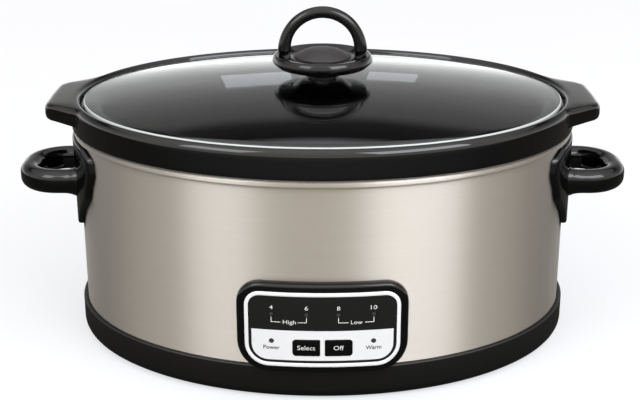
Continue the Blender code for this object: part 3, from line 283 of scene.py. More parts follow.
tray_profile = rounded((
    (TRAY_OUTSET, TRAY_TOP, 1.2 * MM),
    (TRAY_OUTSET, TRAY_LOW, TRAY_ROUND),
    (-TRAY_SKIRT_INSET, TRAY_LOW, 0.4 * MM),
    (-TRAY_SKIRT_INSET, TRAY_FLOOR, 0.6 * MM),
    (-TRAY_OPENING_INSET, TRAY_FLOOR, 0.4 * MM),
    (-TRAY_OPENING_INSET, TRAY_FLOOR + TRAY_FLOOR_SHEET, 0.4 * MM),
    (-TRAY_WALL, TRAY_FLOOR + TRAY_FLOOR_SHEET, 1 * MM),
    (-TRAY_WALL, TRAY_LEDGE, 0.4 * MM),
    (BAND_FIT, TRAY_LEDGE, 0.2 * MM),
    (BAND_FIT, TRAY_TOP, 0.4 * MM),
))
tray = moved(turned("base_tray_moulding", closed_loop(tray_profile), SATIN_BLACK), cut_skirt_ends)
hand_over(smooth(tray), "heated_base", "satin_black_plastic", "base_tray")

# ---- Feet ------------------------------------------------------------------------------------
# Four rubber buttons pressed into pockets of the skirt.  Each is a nitrile disc, compression
# moulded, with a softened rim and a dished sole that grips the worktop.
FOOT_NAMES = ("foot_front_left", "foot_front_right", "foot_rear_left", "foot_rear_right")
FOOT_TURNS = 48
FOOT_DISH = 0.5 * MM
FOOT_RIM = 0.6 * MM

# Nitrile rubber: dull warm black with a chalky bloom.
RUBBER, tree, shader = start_material("moulded_nitrile_rubber", "242322", 0.8, IOR=1.52)
mottle(tree, shader, 0.8 * MM, 0.8, 0.08, 0.03 * MM)

for name in FOOT_NAMES:
    low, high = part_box(name)
    radius = (high.x - low.x) / 2
    sole = ((0, FOOT_DISH), (0.55 * radius, FOOT_DISH), (0.7 * radius, 0.1 * FOOT_DISH), (0.86 * radius, 0))
    side = ((radius, FOOT_RIM), (radius, high.z), (0, high.z))
    foot = turned(name + "_pad", sole + side, RUBBER, 0, 0, FOOT_TURNS)
    middle = (low + high) / 2
    moved(foot, lambda places: places + np.array((middle.x, middle.y, 0)))
    hand_over(smooth(foot), "heated_base", "rubber", name)

# ---- Base plate and its fixings --------------------------------------------------------------
# A zinc-plated steel plate closes the tray's floor.  Four pan-head screws and the nut on the
# central tie stud hold it; each head has a pressed cross recess.
SCREW_HEAD_RADIUS = 3.2 * MM
SCREW_HEAD_HEIGHT = 2 * MM
SCREW_SHANK_RADIUS = 1.6 * MM
SCREW_TURNS = 32
RECESS_WIDTH = 1.1 * MM
RECESS_LENGTH = 4.0 * MM
RECESS_DEPTH = 1.0 * MM


def tinted(tree, shader, share, dark, light):
    """Mix the shader's colour from two hex colours by a share from 0 to 1."""
    tint = add(tree, "ShaderNodeMix", {"Factor": share, 6: linear(dark), 7: linear(light)}, data_type="RGBA")
    tree.links.new(tint.outputs[2], shader.inputs["Base Color"])


def plated(name, colour, roughness):
    """Zinc-plated steel: cool grey with cloudy patches about a centimetre across."""
    material, tree, shader = start_material(name, colour, roughness, 1.0)
    place = add(tree, "ShaderNodeTexCoord").outputs["Object"]
    cloud = add(tree, "ShaderNodeTexNoise", {"Vector": place, "Scale": 1 / (9 * MM), "Detail": 4.0}).outputs["Fac"]
    glossed(tree, shader, cloud, roughness - 0.08, roughness + 0.12)
    tinted(tree, shader, cloud, colour, "A9A79F")
    return material


PLATED_STEEL = plated("zinc_plated_steel", "8F9092", 0.38)


def screws_tree():
    """Nodes that put one screw on each point of a mesh, turned by a share of a turn for each."""
    tree, start = start_tree("screws_on_points", "Screws", Places="Geometry", Screw="Object", Largest_Turn="Float",
                             Seed="Int", Finish="Material")
    screw = add(tree, "GeometryNodeObjectInfo", {"Object": start["Screw"]}).outputs["Geometry"]
    turn = add(tree, "FunctionNodeRandomValue", {2: 0.0, 3: start["Largest Turn"], "Seed": start["Seed"]},
               data_type="FLOAT")
    lie = add(tree, "ShaderNodeCombineXYZ", {"Z": turn.outputs[1]})
    placed = add(tree, "GeometryNodeInstanceOnPoints", {
        "Points": start["Places"], "Instance": screw, "Rotation": lie.outputs[0],
    })
    return end_tree(tree, "Screws", placed.outputs[0], start["Finish"])


def cut(item, *others):
    """Take other objects away from an object, which becomes a plain mesh."""
    for other in others:
        modifier = item.modifiers.new("cut", "BOOLEAN")
        modifier.object = other
        modifier.solver = "EXACT"
    item = settled(item)
    for other in others:
        bpy.data.objects.remove(other)
    return item


def made(name, mesh):
    """Turn a mesh under construction into an object in the scene."""
    data = bpy.data.meshes.new(name)
    mesh.to_mesh(data)
    mesh.free()
    item = bpy.data.objects.new(name, data)
    bpy.context.scene.collection.objects.link(item)
    return item


def block(name, low, high):
    """A box between two corners, used as a cutter."""
    mesh = bmesh.new()
    bmesh.ops.create_cube(mesh, size=1)
    low, high = Vector(low), Vector(high)
    for vertex in mesh.verts:
        vertex.co = (low + high) / 2 + vertex.co * (high - low)
    return made(name, mesh)


low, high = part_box("base_plate_screw_1")
screw_profile = rounded((
    (0, low.z, 0),
    (SCREW_HEAD_RADIUS, low.z, 1.3 * MM),
    (SCREW_HEAD_RADIUS, low.z + SCREW_HEAD_HEIGHT, 0.2 * MM),
    (SCREW_SHANK_RADIUS, low.z + SCREW_HEAD_HEIGHT, 0.1 * MM),
    (SCREW_SHANK_RADIUS, high.z, 0.6 * MM),
    (0, high.z, 0),
), closed=False)
screw = smooth(turned("pan_head_screw", screw_profile, PLATED_STEEL, 0, 0, SCREW_TURNS))
half = RECESS_LENGTH / 2
slim = RECESS_WIDTH / 2
deep = low.z + RECESS_DEPTH
screw = cut(
    screw,
    block("recess_across", (-half, -slim, low.z - MM), (half, slim, deep)),
    block("recess_along", (-slim, -half, low.z - MM), (slim, half, deep)),
)
places = bpy.data.meshes.new("plate_screw_places")
middles = []
for index in range(1, 5):
    low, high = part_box(f"base_plate_screw_{index}")
    middles.append(((low.x + high.x) / 2, (low.y + high.y) / 2, 0))
places.from_pydata(middles, [], [])
plate_screws = run_nodes("plate_screws", places, screws_tree(), **{
    "Screw": screw, "Largest Turn": math.pi / 2, "Seed": 3, "Finish": PLATED_STEEL,
})
bpy.data.objects.remove(screw)
hand_over(smooth(plate_screws, 30), "heated_base", "plated_steel", *[f"base_plate_screw_{n}" for n in range(1, 5)])

# ---- Electrics under the well ----------------------------------------------------------------
# The power board on its moulded carrier, with relay, transformer and capacitor, and the sensor
# and thermal fuse that are clipped under the well.  They keep their CAD shapes.
BOARD_TRACK = 1.3 * MM


def coated(item, finish):
    """Give a mesh object one finish all over."""
    item.data.materials.clear()
    item.data.materials.append(finish)
    return item


def dress(finish, *nodes):
    """Give CAD nodes a finish."""
    for name in nodes:
        coated(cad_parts[name], finish)


# Glass-epoxy circuit board: green solder resist with copper tracks showing through as paler lines.
CIRCUIT_BOARD, tree, shader = start_material("solder_resist_board", "1E5B34", 0.38, IOR=1.5)
place = add(tree, "ShaderNodeTexCoord").outputs["Object"]
tracks = add(tree, "ShaderNodeTexVoronoi", {"Vector": place, "Scale": 1 / (4 * BOARD_TRACK)}, distance="CHEBYCHEV")
edge = add(tree, "ShaderNodeMapRange", {"Value": tracks.outputs["Distance"], "From Min": 0.36, "From Max": 0.44})
tinted(tree, shader, edge.outputs["Result"], "1E5B34", "3F8A50")
embossed(tree, shader, edge.outputs["Result"], 0.03 * MM)
dress(CIRCUIT_BOARD, "power_board", "control_board")

# Filled epoxy and nylon cases: near-black, slightly grainy, dull.
DARK_CASE, tree, shader = start_material("filled_nylon_case", "2A2A2D", 0.55, IOR=1.53)
mottle(tree, shader, 0.9 * MM, 0.55, 0.08, 0.03 * MM)
dress(DARK_CASE, "relay", "transformer", "capacitor")
dress(DARK_CASE, "select_switch", "off_switch", "select_plunger", "off_plunger")
dress(SATIN_BLACK, "board_carrier")
dress(PLATED_STEEL, "base_plate", "tie_stud", "tie_nut", "temperature_sensor", "sensor_clip", "thermal_fuse")

# ---- Well liner ------------------------------------------------------------------------------
# The heated well is deep-drawn aluminised steel.  Its flange lies on the band's rolled top and
# carries the crock's rim; the faint rings on its wall are left by the drawing press.
LINER_SHEET = 0.7 * MM
LINER_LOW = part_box("well_liner")[0].z
LINER_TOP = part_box("well_liner")[1].z
LINER_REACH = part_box("well_liner")[1].x - HALF_LENGTH
LINER_NECK = -11 * MM
LINER_FOOT = -20.5 * MM
LINER_CORNER = 9 * MM
PRESS_RING = 7 * MM
FLOOR_INSET = 60 * MM

# Aluminised steel: soft satin grey with level draw rings.
LINER_STEEL, tree, shader = start_material("aluminised_steel", "9C9B97", 0.42, 1.0)
place = add(tree, "ShaderNodeTexCoord").outputs["Object"]
flat_streaks = add(tree, "ShaderNodeMapping", {"Vector": place, "Scale": (8, 8, 1 / PRESS_RING)})
rings = add(tree, "ShaderNodeTexNoise", {"Vector": flat_streaks.outputs[0], "Scale": 1.0, "Detail": 5.0})
glossed(tree, shader, rings.outputs["Fac"], 0.32, 0.55)
embossed(tree, shader, rings.outputs["Fac"], 0.15 * MM)

liner_outside = (
    (LINER_FOOT, LINER_LOW, LINER_CORNER),
    (LINER_NECK, LINER_TOP - LINER_SHEET, 1.2 * MM),
    (LINER_REACH, LINER_TOP - LINER_SHEET, 0),
)
liner_inside = (
    (LINER_REACH, LINER_TOP, 0.1 * MM),
    (LINER_NECK - LINER_SHEET, LINER_TOP, 1.6 * MM),
    (LINER_FOOT - LINER_SHEET, LINER_LOW + LINER_SHEET, LINER_CORNER - LINER_SHEET),
)
liner_line = rounded(
    ((-FLOOR_INSET, LINER_LOW, 0),) + liner_outside + liner_inside + ((-FLOOR_INSET, LINER_LOW + LINER_SHEET, 0),),
    closed=False,
)
liner_line = [(p[0], 1.0, p[1]) for p in liner_line]
liner_line = [(0, 0, LINER_LOW)] + liner_line + [(0, 0, LINER_LOW + LINER_SHEET)]
liner = turned("well_liner_pressing", liner_line, LINER_STEEL)
hand_over(smooth(liner), "heated_base", "liner_steel", "well_liner")

# ---- Heater and wrap -------------------------------------------------------------------------
# A resistance heater sealed in aluminium foil is strapped round the well, and glass wool is
# wrapped round that.  They are hidden once the band is on and keep their CAD shapes.
FOIL_WRINKLE = 5 * MM
WOOL_FIBRE = 1.2 * MM

# Household-thickness aluminium foil: bright, crumpled in small facets.
FOIL, tree, shader = start_material("crumpled_aluminium_foil", "B9BABC", 0.3, 1.0)
place = add(tree, "ShaderNodeTexCoord").outputs["Object"]
facets = add(tree, "ShaderNodeTexVoronoi", {"Vector": place, "Scale": 1 / FOIL_WRINKLE}, feature="F2")
embossed(tree, shader, facets.outputs["Distance"], 0.8 * MM)
dress(FOIL, "heater_band")
dress(PLATED_STEEL, "heater_strap_lower", "heater_strap_upper")

# Needled glass wool: cream, matt and fibrous.
WOOL, tree, shader = start_material("white_glass_wool", "D9D2B6", 0.95)
place = add(tree, "ShaderNodeTexCoord").outputs["Object"]
along = add(tree, "ShaderNodeMapping", {"Vector": place, "Scale": (1, 1, 4)})
fibres = add(tree, "ShaderNodeTexNoise", {"Vector": along.outputs[0], "Scale": 1 / WOOL_FIBRE, "Detail": 6.0,
                                          "Distortion": 1.5})
tinted(tree, shader, fibres.outputs["Fac"], "BDB491", "F0EBD8")
embossed(tree, shader, fibres.outputs["Fac"], 1.5 * MM)
dress(WOOL, "insulation_wrap")

# ---- Outer band ------------------------------------------------------------------------------
# The band is 0.8 mm ferritic stainless sheet, brushed along its length and rolled into a closed
# oval whose ground-flush weld is not drawn.  Its top edge is rolled outwards into a lip.
BAND_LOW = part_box("outer_band")[0].z
BAND_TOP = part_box("outer_band")[1].z
BAND_SHEET = 0.8 * MM
LIP_LOW = BAND_TOP - 4.6 * MM
BRUSH_LINE = 0.5 * MM
BRUSH_LENGTH = 40 * MM
PATCHES_PER_METRE = (12, 12, 1 / (6 * MM))

# Brushed stainless steel: warm grey, fine level lines, and highlights that smear up and down.
# The real lines are about 0.1 mm apart and are drawn at 0.5 mm so that they show.
BRUSHED_STEEL, tree, shader = start_material("brushed_stainless_steel", "D4CEC5", 0.5, 1.0, Anisotropic=1.0,
                                             Anisotropic_Rotation=0.25)
place = add(tree, "ShaderNodeTexCoord").outputs["Object"]
lines_place = add(tree, "ShaderNodeMapping", {
    "Vector": place, "Scale": (1 / BRUSH_LENGTH, 1 / BRUSH_LENGTH, 1 / BRUSH_LINE),
})
lines = add(tree, "ShaderNodeTexNoise", {"Vector": lines_place.outputs[0], "Scale": 1.0, "Detail": 4.0,
                                         "Roughness": 0.6})
patches_place = add(tree, "ShaderNodeMapping", {"Vector": place, "Scale": PATCHES_PER_METRE})
patches = add(tree, "ShaderNodeTexNoise", {"Vector": patches_place.outputs[0], "Scale": 1.0, "Detail": 2.0})
tinted(tree, shader, lines.outputs["Fac"], "CFC8BE", "DAD4CB")
glossed(tree, shader, patches.outputs["Fac"], 0.47, 0.53)
embossed(tree, shader, lines.outputs["Fac"], 0.05 * MM, 0.15)
around = add(tree, "ShaderNodeTangent", direction_type="RADIAL", axis="Z")
tree.links.new(around.outputs[0], shader.inputs["Tangent"])

band_profile = rounded((
    (0, BAND_LOW, 0.1 * MM),
    (0, LIP_LOW + 0.4 * MM, 0.8 * MM),
    (BAND_LIP, LIP_LOW + 1.2 * MM, 1.1 * MM),
    (BAND_LIP, BAND_TOP, 1.5 * MM),
    (-BAND_SHEET, BAND_TOP, 0.2 * MM),
    (-BAND_SHEET, BAND_LOW, 0.1 * MM),
))
band = turned("outer_band_sheet", closed_loop(band_profile), BRUSHED_STEEL)
hand_over(smooth(band), "heated_base", "brushed_steel", "outer_band")

# ---- Side handles ----------------------------------------------------------------------------
# Each handle is one gloss phenolic moulding: a shield-shaped plate that hugs the band and a
# level finger loop of rounded section.  Two screws hold it from inside the band.
HANDLE_SHEET = 3.7 * MM
HANDLE_GAP = 0.3 * MM
HANDLE_LOW = 110 * MM
HANDLE_HIGH = 127.5 * MM
HANDLE_MIDDLE = (HANDLE_LOW + HANDLE_HIGH) / 2
HANDLE_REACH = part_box("side_handle_right")[1].x - HALF_LENGTH
HANDLE_BAR = 15.0 * MM
HANDLE_HALF_WIDTH = 36.5 * MM
HANDLE_CORNER = 31 * MM
HANDLE_ROOT_FLARE = 0.22
HANDLE_ROOT_LENGTH = 11 * MM
HANDLE_ROOT_DEPTH = 14 * MM
HANDLE_SOFTENING = 6.6 * MM
SHIELD_CORNERS = (
    (0, 82), (16, 82), (30, 86), (42, 100), (58, 115), (62, 126), (67, 136), (66, 147), (55, 152.3), (0, 152.3),
)
SHIELD_CORNER = 5 * MM
# Rounded edge of a plate, from its back to its front: (inset, distance below the front), in mm.
SHIELD_EDGE = ((0, 1.5), (0.15, 0.9), (0.5, 0.4), (1.1, 0.1), (1.9, 0))
SLICE = 2 * MM

# Moulded phenolic: deep black gloss with the faint orange peel of a polished tool.
GLOSS_BLACK, tree, shader = start_material("polished_phenolic", "050505", 0.11, IOR=1.46)
mottle(tree, shader, 6 * MM, 0.11, 0.03, 0.02 * MM)


def bar_tree():
    """Nodes that run a rounded section along a path whose points carry their own thickness."""
    tree, start = start_tree("bar_on_path", "Bar", Path="Geometry", Bar_Width="Float", Bar_Height="Float",
                             Corner="Float", Finish="Material")
    path = add(tree, "GeometryNodeMeshToCurve", {"Mesh": start["Path"]})
    upright = add(tree, "GeometryNodeSetCurveNormal", {"Curve": path.outputs[0]}, mode="Z_UP")
    thickness = add(tree, "GeometryNodeInputNamedAttribute", {"Name": "thickness"}, data_type="FLOAT")
    section = add(tree, "GeometryNodeCurvePrimitiveQuadrilateral", {"Width": start["Bar Width"],
                                                                    "Height": start["Bar Height"]})
    softened = add(tree, "GeometryNodeFilletCurve", {"Curve": section.outputs[0], "Radius": start["Corner"],
                                                     "Count": 7, "Limit Radius": True}, mode="POLY")
    bar = add(tree, "GeometryNodeCurveToMesh", {"Curve": upright.outputs[0], "Profile Curve": softened.outputs[0],
                                                "Fill Caps": True, "Scale": thickness.outputs["Attribute"]})
    return end_tree(tree, "Bar", bar.outputs[0], start["Finish"])


BAR_ON_PATH = bar_tree()


def slab(name, layers):
    """Close a stack of layers, each (outline of (across, height), outset), into a flat solid."""
    mesh = bmesh.new()
    rings = [[mesh.verts.new((across, outset, height)) for across, height in outline] for outline, outset in layers]
    for ring, after in zip(rings, rings[1:]):
        for index in range(len(ring)):
            follower = (index + 1) % len(ring)
            mesh.faces.new((ring[index], ring[follower], after[follower], after[index]))
    mesh.faces.new(rings[0])
    mesh.faces.new(rings[-1])
    bmesh.ops.recalc_face_normals(mesh, faces=mesh.faces)
    return made(name, mesh)


def drawn_in(outline, inset):
    """An anticlockwise outline moved inwards along its own normals."""
    points = []
    for index, here in enumerate(outline):
        before = Vector(outline[index - 1])
        after = Vector(outline[(index + 1) % len(outline)])
        along = (after - before).normalized()
        points.append((here[0] - along.y * inset, here[1] + along.x * inset))
    return points


def sliced(item, step=SLICE):
    """Cut a flat solid across its width so that it can bend smoothly."""
    mesh = bmesh.new()
    mesh.from_mesh(item.data)
    reach = max(abs(vertex.co.x) for vertex in mesh.verts)
    for index in range(-int(reach / step), int(reach / step) + 1):
        everything = mesh.verts[:] + mesh.edges[:] + mesh.faces[:]
        bmesh.ops.bisect_plane(mesh, geom=everything, plane_co=(index * step, 0, 0), plane_no=(1, 0, 0), dist=1e-7)
    mesh.to_mesh(item.data)
    mesh.free()
    return item


def round_front(places):
    """Lay flat (across, outset, height) places on the front of the band's oval."""
    across, outset, height = places.T
    depth = (HALF_DEPTH + outset) * np.sqrt(1 - (across / (HALF_LENGTH + outset)) ** 2)
    return np.stack((across, -depth, height), axis=1)


def round_side(side):
    """The same for one end of the band: +1 for +X, -1 for -X."""
    def lay(places):
        across, outset, height = places.T
        depth = (HALF_LENGTH + outset) * np.sqrt(1 - (across / (HALF_DEPTH + outset)) ** 2)
        return np.stack((side * depth, across, height), axis=1)
    return lay


def joined(item, other):
    """Fuse two solids into one plain mesh."""
    modifier = item.modifiers.new("joined", "BOOLEAN")
    modifier.operation = "UNION"
    modifier.object = other
    modifier.solver = "EXACT"
    item = settled(item)
    bpy.data.objects.remove(other)
    return item


def handle_path():
    """Path of the finger loop's middle on the +X side, as (x, y, thickness)."""
    reach = HALF_LENGTH + HANDLE_REACH - HANDLE_BAR / 2
    half = HANDLE_HALF_WIDTH - HANDLE_BAR / 2
    radius = HANDLE_CORNER - HANDLE_BAR / 2
    root = HALF_LENGTH - HANDLE_ROOT_DEPTH
    corners = ((root, -half, 0), (reach, -half, radius), (reach, half, radius), (root, half, 0))
    line = rounded(corners, steps=20, closed=False)
    straight = [Vector((root + (line[1].x - root) * step / 12, -half)) for step in range(12)]
    line = straight + line[1:-1] + [Vector((p.x, half)) for p in reversed(straight)]
    path = []
    for point in line:
        plate_front = (HALF_LENGTH + HANDLE_SHEET) * math.sqrt(1 - (half / HALF_DEPTH) ** 2)
        near = min(max(1 - (point.x - plate_front) / HANDLE_ROOT_LENGTH, 0), 1)
        path.append((point.x, point.y, 1 + HANDLE_ROOT_FLARE * near ** 3))
    return path


def path_mesh(name, points, thickness):
    """A line of points, each with a thickness, for the bar nodes."""
    data = bpy.data.meshes.new(name)
    data.from_pydata(points, [(index, index + 1) for index in range(len(points) - 1)], [])
    data.attributes.new("thickness", "FLOAT", "POINT").data.foreach_set("value", thickness)
    return data


def make_side_handle(name, side):
    """One handle: the loop cut to the band's oval, fused with its wrapped plate."""
    half = [(y * MM, z * MM, 0) for y, z in SHIELD_CORNERS]
    corners = half[1:-1] + [(-y, z, 0) for y, z, _ in reversed(half[1:-1])]
    outline = rounded([(y, z, SHIELD_CORNER) for y, z, _ in corners], steps=5)
    front = HANDLE_GAP + HANDLE_SHEET
    layers = [(outline, HANDLE_GAP)]
    layers += [(drawn_in(outline, inset * MM), front - down * MM) for inset, down in SHIELD_EDGE]
    plate = moved(sliced(slab(name, layers)), round_side(side))
    path = handle_path()
    guide = path_mesh(name + "_loop", [(x, y, HANDLE_MIDDLE) for x, y, _ in path], [t for _, _, t in path])
    loop = run_nodes(name + "_loop", guide, BAR_ON_PATH, **{
        "Bar Width": HANDLE_BAR, "Bar Height": HANDLE_HIGH - HANDLE_LOW, "Corner": HANDLE_SOFTENING,
        "Finish": GLOSS_BLACK,
    })
    moved(loop, lambda places: places * np.array((side, 1, 1)))
    inside = turned("inside_band", closed_loop([(HANDLE_GAP, 90 * MM), (HANDLE_GAP, 150 * MM),
                                                (-60 * MM, 150 * MM), (-60 * MM, 90 * MM)]), GLOSS_BLACK)
    loop = cut(smooth(loop), smooth(inside))
    return smooth(joined(coated(smooth(plate), GLOSS_BLACK), loop), 32)


for side, ending in ((-1, "left"), (1, "right")):
    handle = make_side_handle(f"side_handle_{ending}_moulding", side)
    hand_over(handle, "heated_base", "gloss_black_plastic", f"side_handle_{ending}")
    dress(PLATED_STEEL, f"handle_screw_{ending}_1", f"handle_screw_{ending}_2")

# ---- Control housing -------------------------------------------------------------------------
# The panel's housing is one gloss ABS moulding on the front of the band: a narrower hood behind
# a proud front frame, with windows for the buttons and lights.  It is screwed from inside.
PANEL_HALF_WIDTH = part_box("control_housing")[1].x
PANEL_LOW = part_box("control_housing")[0].z
PANEL_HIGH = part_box("control_housing")[1].z
PANEL_OUTSET = -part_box("control_housing")[0].y - HALF_DEPTH
PANEL_TOP_RADIUS = 16 * MM
PANEL_FOOT_RADIUS = 21 * MM
HOOD_INSET = 2.6 * MM
HOOD_DEPTH = 5.2 * MM
POCKET_INSET = 13.5 * MM
POCKET_SHEET = 2.5 * MM
BUTTON_X = 10.8 * MM
BUTTON_HALF_WIDTH = 8.9 * MM
BUTTON_HALF_HEIGHT = 5.7 * MM
BUTTON_GAP = 0.4 * MM
BUTTON_OUTER_CORNER = 2.0 * MM
BUTTON_INNER_CORNER = 0.6 * MM
BUTTON_Z = 44.9 * MM
LIGHT_NAMES = ("time_light_1", "time_light_2", "time_light_3", "time_light_4", "power_light", "warm_light")
LIGHT_GAP = 0.3 * MM
LIGHT_TURNS = 24
# Rounded edges of the front frame, in mm: (inset, distance in front of the hood) at its back and
# (inset, distance behind its face) at its front.
FRAME_BACK_EDGE = ((0.7, 0.1), (0.2, 0.4), (0, 1.0))
FRAME_FRONT_EDGE = ((0, 2.4), (0.3, 1.3), (0.9, 0.5), (1.7, 0.1), (2.6, 0))


def panel_outline(inset, steps=8):
    """Outline of the panel drawn in by an inset: wide rounded foot corners, tighter top ones."""
    half, foot, top = PANEL_HALF_WIDTH - inset, PANEL_FOOT_RADIUS - inset, PANEL_TOP_RADIUS - inset
    low, high = PANEL_LOW + inset, PANEL_HIGH - inset
    return rounded(((-half, low, foot), (half, low, foot), (half, high, top), (-half, high, top)), steps)


def button_outline(side, extra):
    """Outline of a button, grown by an extra: its two outer corners are rounder."""
    near, far = BUTTON_X - BUTTON_HALF_WIDTH - extra, BUTTON_X + BUTTON_HALF_WIDTH + extra
    low, high = BUTTON_Z - BUTTON_HALF_HEIGHT - extra, BUTTON_Z + BUTTON_HALF_HEIGHT + extra
    inner, outer = BUTTON_INNER_CORNER + extra, BUTTON_OUTER_CORNER + extra
    corners = ((near, low, inner), (far, low, outer), (far, high, outer), (near, high, inner))
    if side < 0:
        corners = [(-across, height, radius) for across, height, radius in reversed(corners)]
    return rounded(corners, 5)


def window_cutters(outset):
    """Cutters for the button windows and light holes, from an outset outwards, in flat places."""
    cutters = []
    for side in (-1, 1):
        outline = button_outline(side, BUTTON_GAP)
        cutters.append(slab("button_window", ((outline, outset), (outline, 2 * PANEL_OUTSET))))
    for name in LIGHT_NAMES:
        low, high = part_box(name)
        radius = (high.x - low.x) / 2 + LIGHT_GAP
        middle = (low + high) / 2
        turns = [math.tau * step / LIGHT_TURNS for step in range(LIGHT_TURNS)]
        ring = [(middle.x + radius * math.cos(turn), middle.z + radius * math.sin(turn)) for turn in turns]
        cutters.append(slab("light_hole", ((ring, outset), (ring, 2 * PANEL_OUTSET))))
    return cutters


# Moulded ABS: piano black, very glossy, with a barely rippled skin.
PIANO_BLACK, tree, shader = start_material("polished_abs", "060606", 0.09, IOR=1.46)
mottle(tree, shader, 8 * MM, 0.09, 0.02, 0.02 * MM)

housing_layers = [(panel_outline(HOOD_INSET), BAND_FIT), (panel_outline(HOOD_INSET), HOOD_DEPTH)]
housing_layers += [(panel_outline(inset * MM), HOOD_DEPTH + up * MM) for inset, up in FRAME_BACK_EDGE]
housing_layers += [(panel_outline(inset * MM), PANEL_OUTSET - down * MM) for inset, down in FRAME_FRONT_EDGE]
pocket_outline = panel_outline(POCKET_INSET)
pocket = slab("pocket", ((pocket_outline, -5 * MM), (pocket_outline, PANEL_OUTSET - POCKET_SHEET)))
housing = cut(slab("control_housing_moulding", housing_layers), pocket, *window_cutters(3 * MM))
moved(sliced(housing), round_front)
hand_over(smooth(coated(housing, PIANO_BLACK), 32), "heated_base", "gloss_black_plastic", "control_housing")
dress(PLATED_STEEL, "housing_screw_left", "housing_screw_right")

# ---- Trim ring -------------------------------------------------------------------------------
# A white ABS bezel snapped on the housing's front, round the label.  Its front edges are rounded.
RING_MARGIN = 5.5 * MM
RING_WIDTH = 2.6 * MM
RING_BACK = PANEL_OUTSET + 0.3 * MM
RING_FRONT = -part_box("trim_ring")[0].y - HALF_DEPTH

# Moulded ABS, bright white with a light satin sheen.
WHITE_ABS, tree, shader = start_material("white_abs", "E4E5E7", 0.3, IOR=1.53)
mottle(tree, shader, 1.5 * MM, 0.3, 0.04, 0.01 * MM)


def panel_ring(name, outer, inner, back, front, edge):
    """A ring between two insets of the panel's outline, with rounded front edges, on the oval."""
    outside = [(panel_outline(outer), back), (panel_outline(outer), front - edge),
               (panel_outline(outer + 0.3 * edge), front - 0.3 * edge), (panel_outline(outer + edge), front)]
    inside = [(panel_outline(inner - edge), front), (panel_outline(inner - 0.3 * edge), front - 0.3 * edge),
              (panel_outline(inner), front - edge), (panel_outline(inner), back)]
    mesh = bmesh.new()
    rings = [[mesh.verts.new((across, outset, height)) for across, height in outline]
             for outline, outset in outside + inside]
    for ring, after in zip(rings, rings[1:] + rings[:1]):
        for index in range(len(ring)):
            follower = (index + 1) % len(ring)
            mesh.faces.new((ring[index], ring[follower], after[follower], after[index]))
    return smooth(moved(sliced(made(name, mesh)), round_front), 32)


ring = panel_ring("trim_ring_bezel", RING_MARGIN, RING_MARGIN + RING_WIDTH, RING_BACK, RING_FRONT, 0.5 * MM)
hand_over(coated(ring, WHITE_ABS), "heated_base", "white_plastic", "trim_ring")

# ---- Label -----------------------------------------------------------------------------------
# The label is black polyester film with a silver field printed on its lower half.  White and
# grey ink gives the hours, the two heat settings, the lights' names and the button borders.
LABEL_INSET = RING_MARGIN + RING_WIDTH + 0.3 * MM
LABEL_BACK = PANEL_OUTSET + 0.3 * MM
LABEL_FRONT = LABEL_BACK + 0.5 * MM
INK = 0.04 * MM
SILVER_INSET = 10.2 * MM
SILVER_TOP = 57.3 * MM
BORDER = 1.0 * MM
STROKE = 0.45 * MM
CAP_SHARE = 0.729

# Screen-printed polyester film: black and even, satin.
BLACK_FILM, tree, shader = start_material("printed_polyester_film", "131313", 0.3, IOR=1.57)
mottle(tree, shader, 0.6 * MM, 0.3, 0.04, 0.005 * MM)
# Silver screen ink: pale grey with very fine metal flake.
SILVER_INK, tree, shader = start_material("silver_screen_ink", "E4E5E9", 0.42, 0.1)
place = add(tree, "ShaderNodeTexCoord").outputs["Object"]
flake = add(tree, "ShaderNodeTexNoise", {"Vector": place, "Scale": 1 / (0.6 * MM), "Detail": 2.0})
tinted(tree, shader, flake.outputs["Fac"], "DFE0E4", "EDEEF1")
# White and dark grey screen inks: flat, opaque, slightly uneven in gloss.
WHITE_INK, tree, shader = start_material("white_screen_ink", "DCDDDD", 0.5)
mottle(tree, shader, 0.5 * MM, 0.5, 0.05, 0.004 * MM)
GREY_INK, tree, shader = start_material("grey_screen_ink", "242426", 0.5)
mottle(tree, shader, 0.5 * MM, 0.5, 0.05, 0.004 * MM)


def label_half(name, low, high):
    """The part of the label between two heights, with its windows, laid on the oval."""
    outline = panel_outline(LABEL_INSET)
    label = slab(name, ((outline, LABEL_BACK), (outline, LABEL_FRONT)))
    wide = 2 * PANEL_HALF_WIDTH
    below = block("below", (-wide, 0, low - wide), (wide, wide, low))
    above = block("above", (-wide, 0, high), (wide, wide, high + wide))
    label = cut(label, below, above, *window_cutters(LABEL_BACK - MM))
    return smooth(moved(sliced(coated(label, BLACK_FILM)), round_front), 32)


upper = label_half("label_upper_film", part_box("label_upper")[0].z, PANEL_HIGH)
hand_over(upper, "heated_base", "black_film", "label_upper")
lower = label_half("label_lower_film", PANEL_LOW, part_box("label_lower")[1].z)
hand_over(lower, "heated_base", "silver_film", "label_lower")

silver_half = PANEL_HALF_WIDTH - SILVER_INSET
silver_foot = PANEL_FOOT_RADIUS - SILVER_INSET
silver_low = PANEL_LOW + SILVER_INSET
silver_outline = rounded((
    (-silver_half, silver_low, silver_foot), (silver_half, silver_low, silver_foot),
    (silver_half, SILVER_TOP, 0), (-silver_half, SILVER_TOP, 0),
), 8)
silver = slab("silver_field", ((silver_outline, LABEL_FRONT), (silver_outline, LABEL_FRONT + INK)))
silver = cut(silver, *window_cutters(LABEL_BACK))
hand_over(smooth(moved(sliced(coated(silver, SILVER_INK)), round_front), 32), "heated_base", "silver_film")


def strip(name, low, high, outset):
    """A printed rectangle between two (across, height) corners."""
    outline = ((low[0], low[1]), (high[0], low[1]), (high[0], high[1]), (low[0], high[1]))
    return slab(name, ((outline, outset), (outline, outset + INK)))


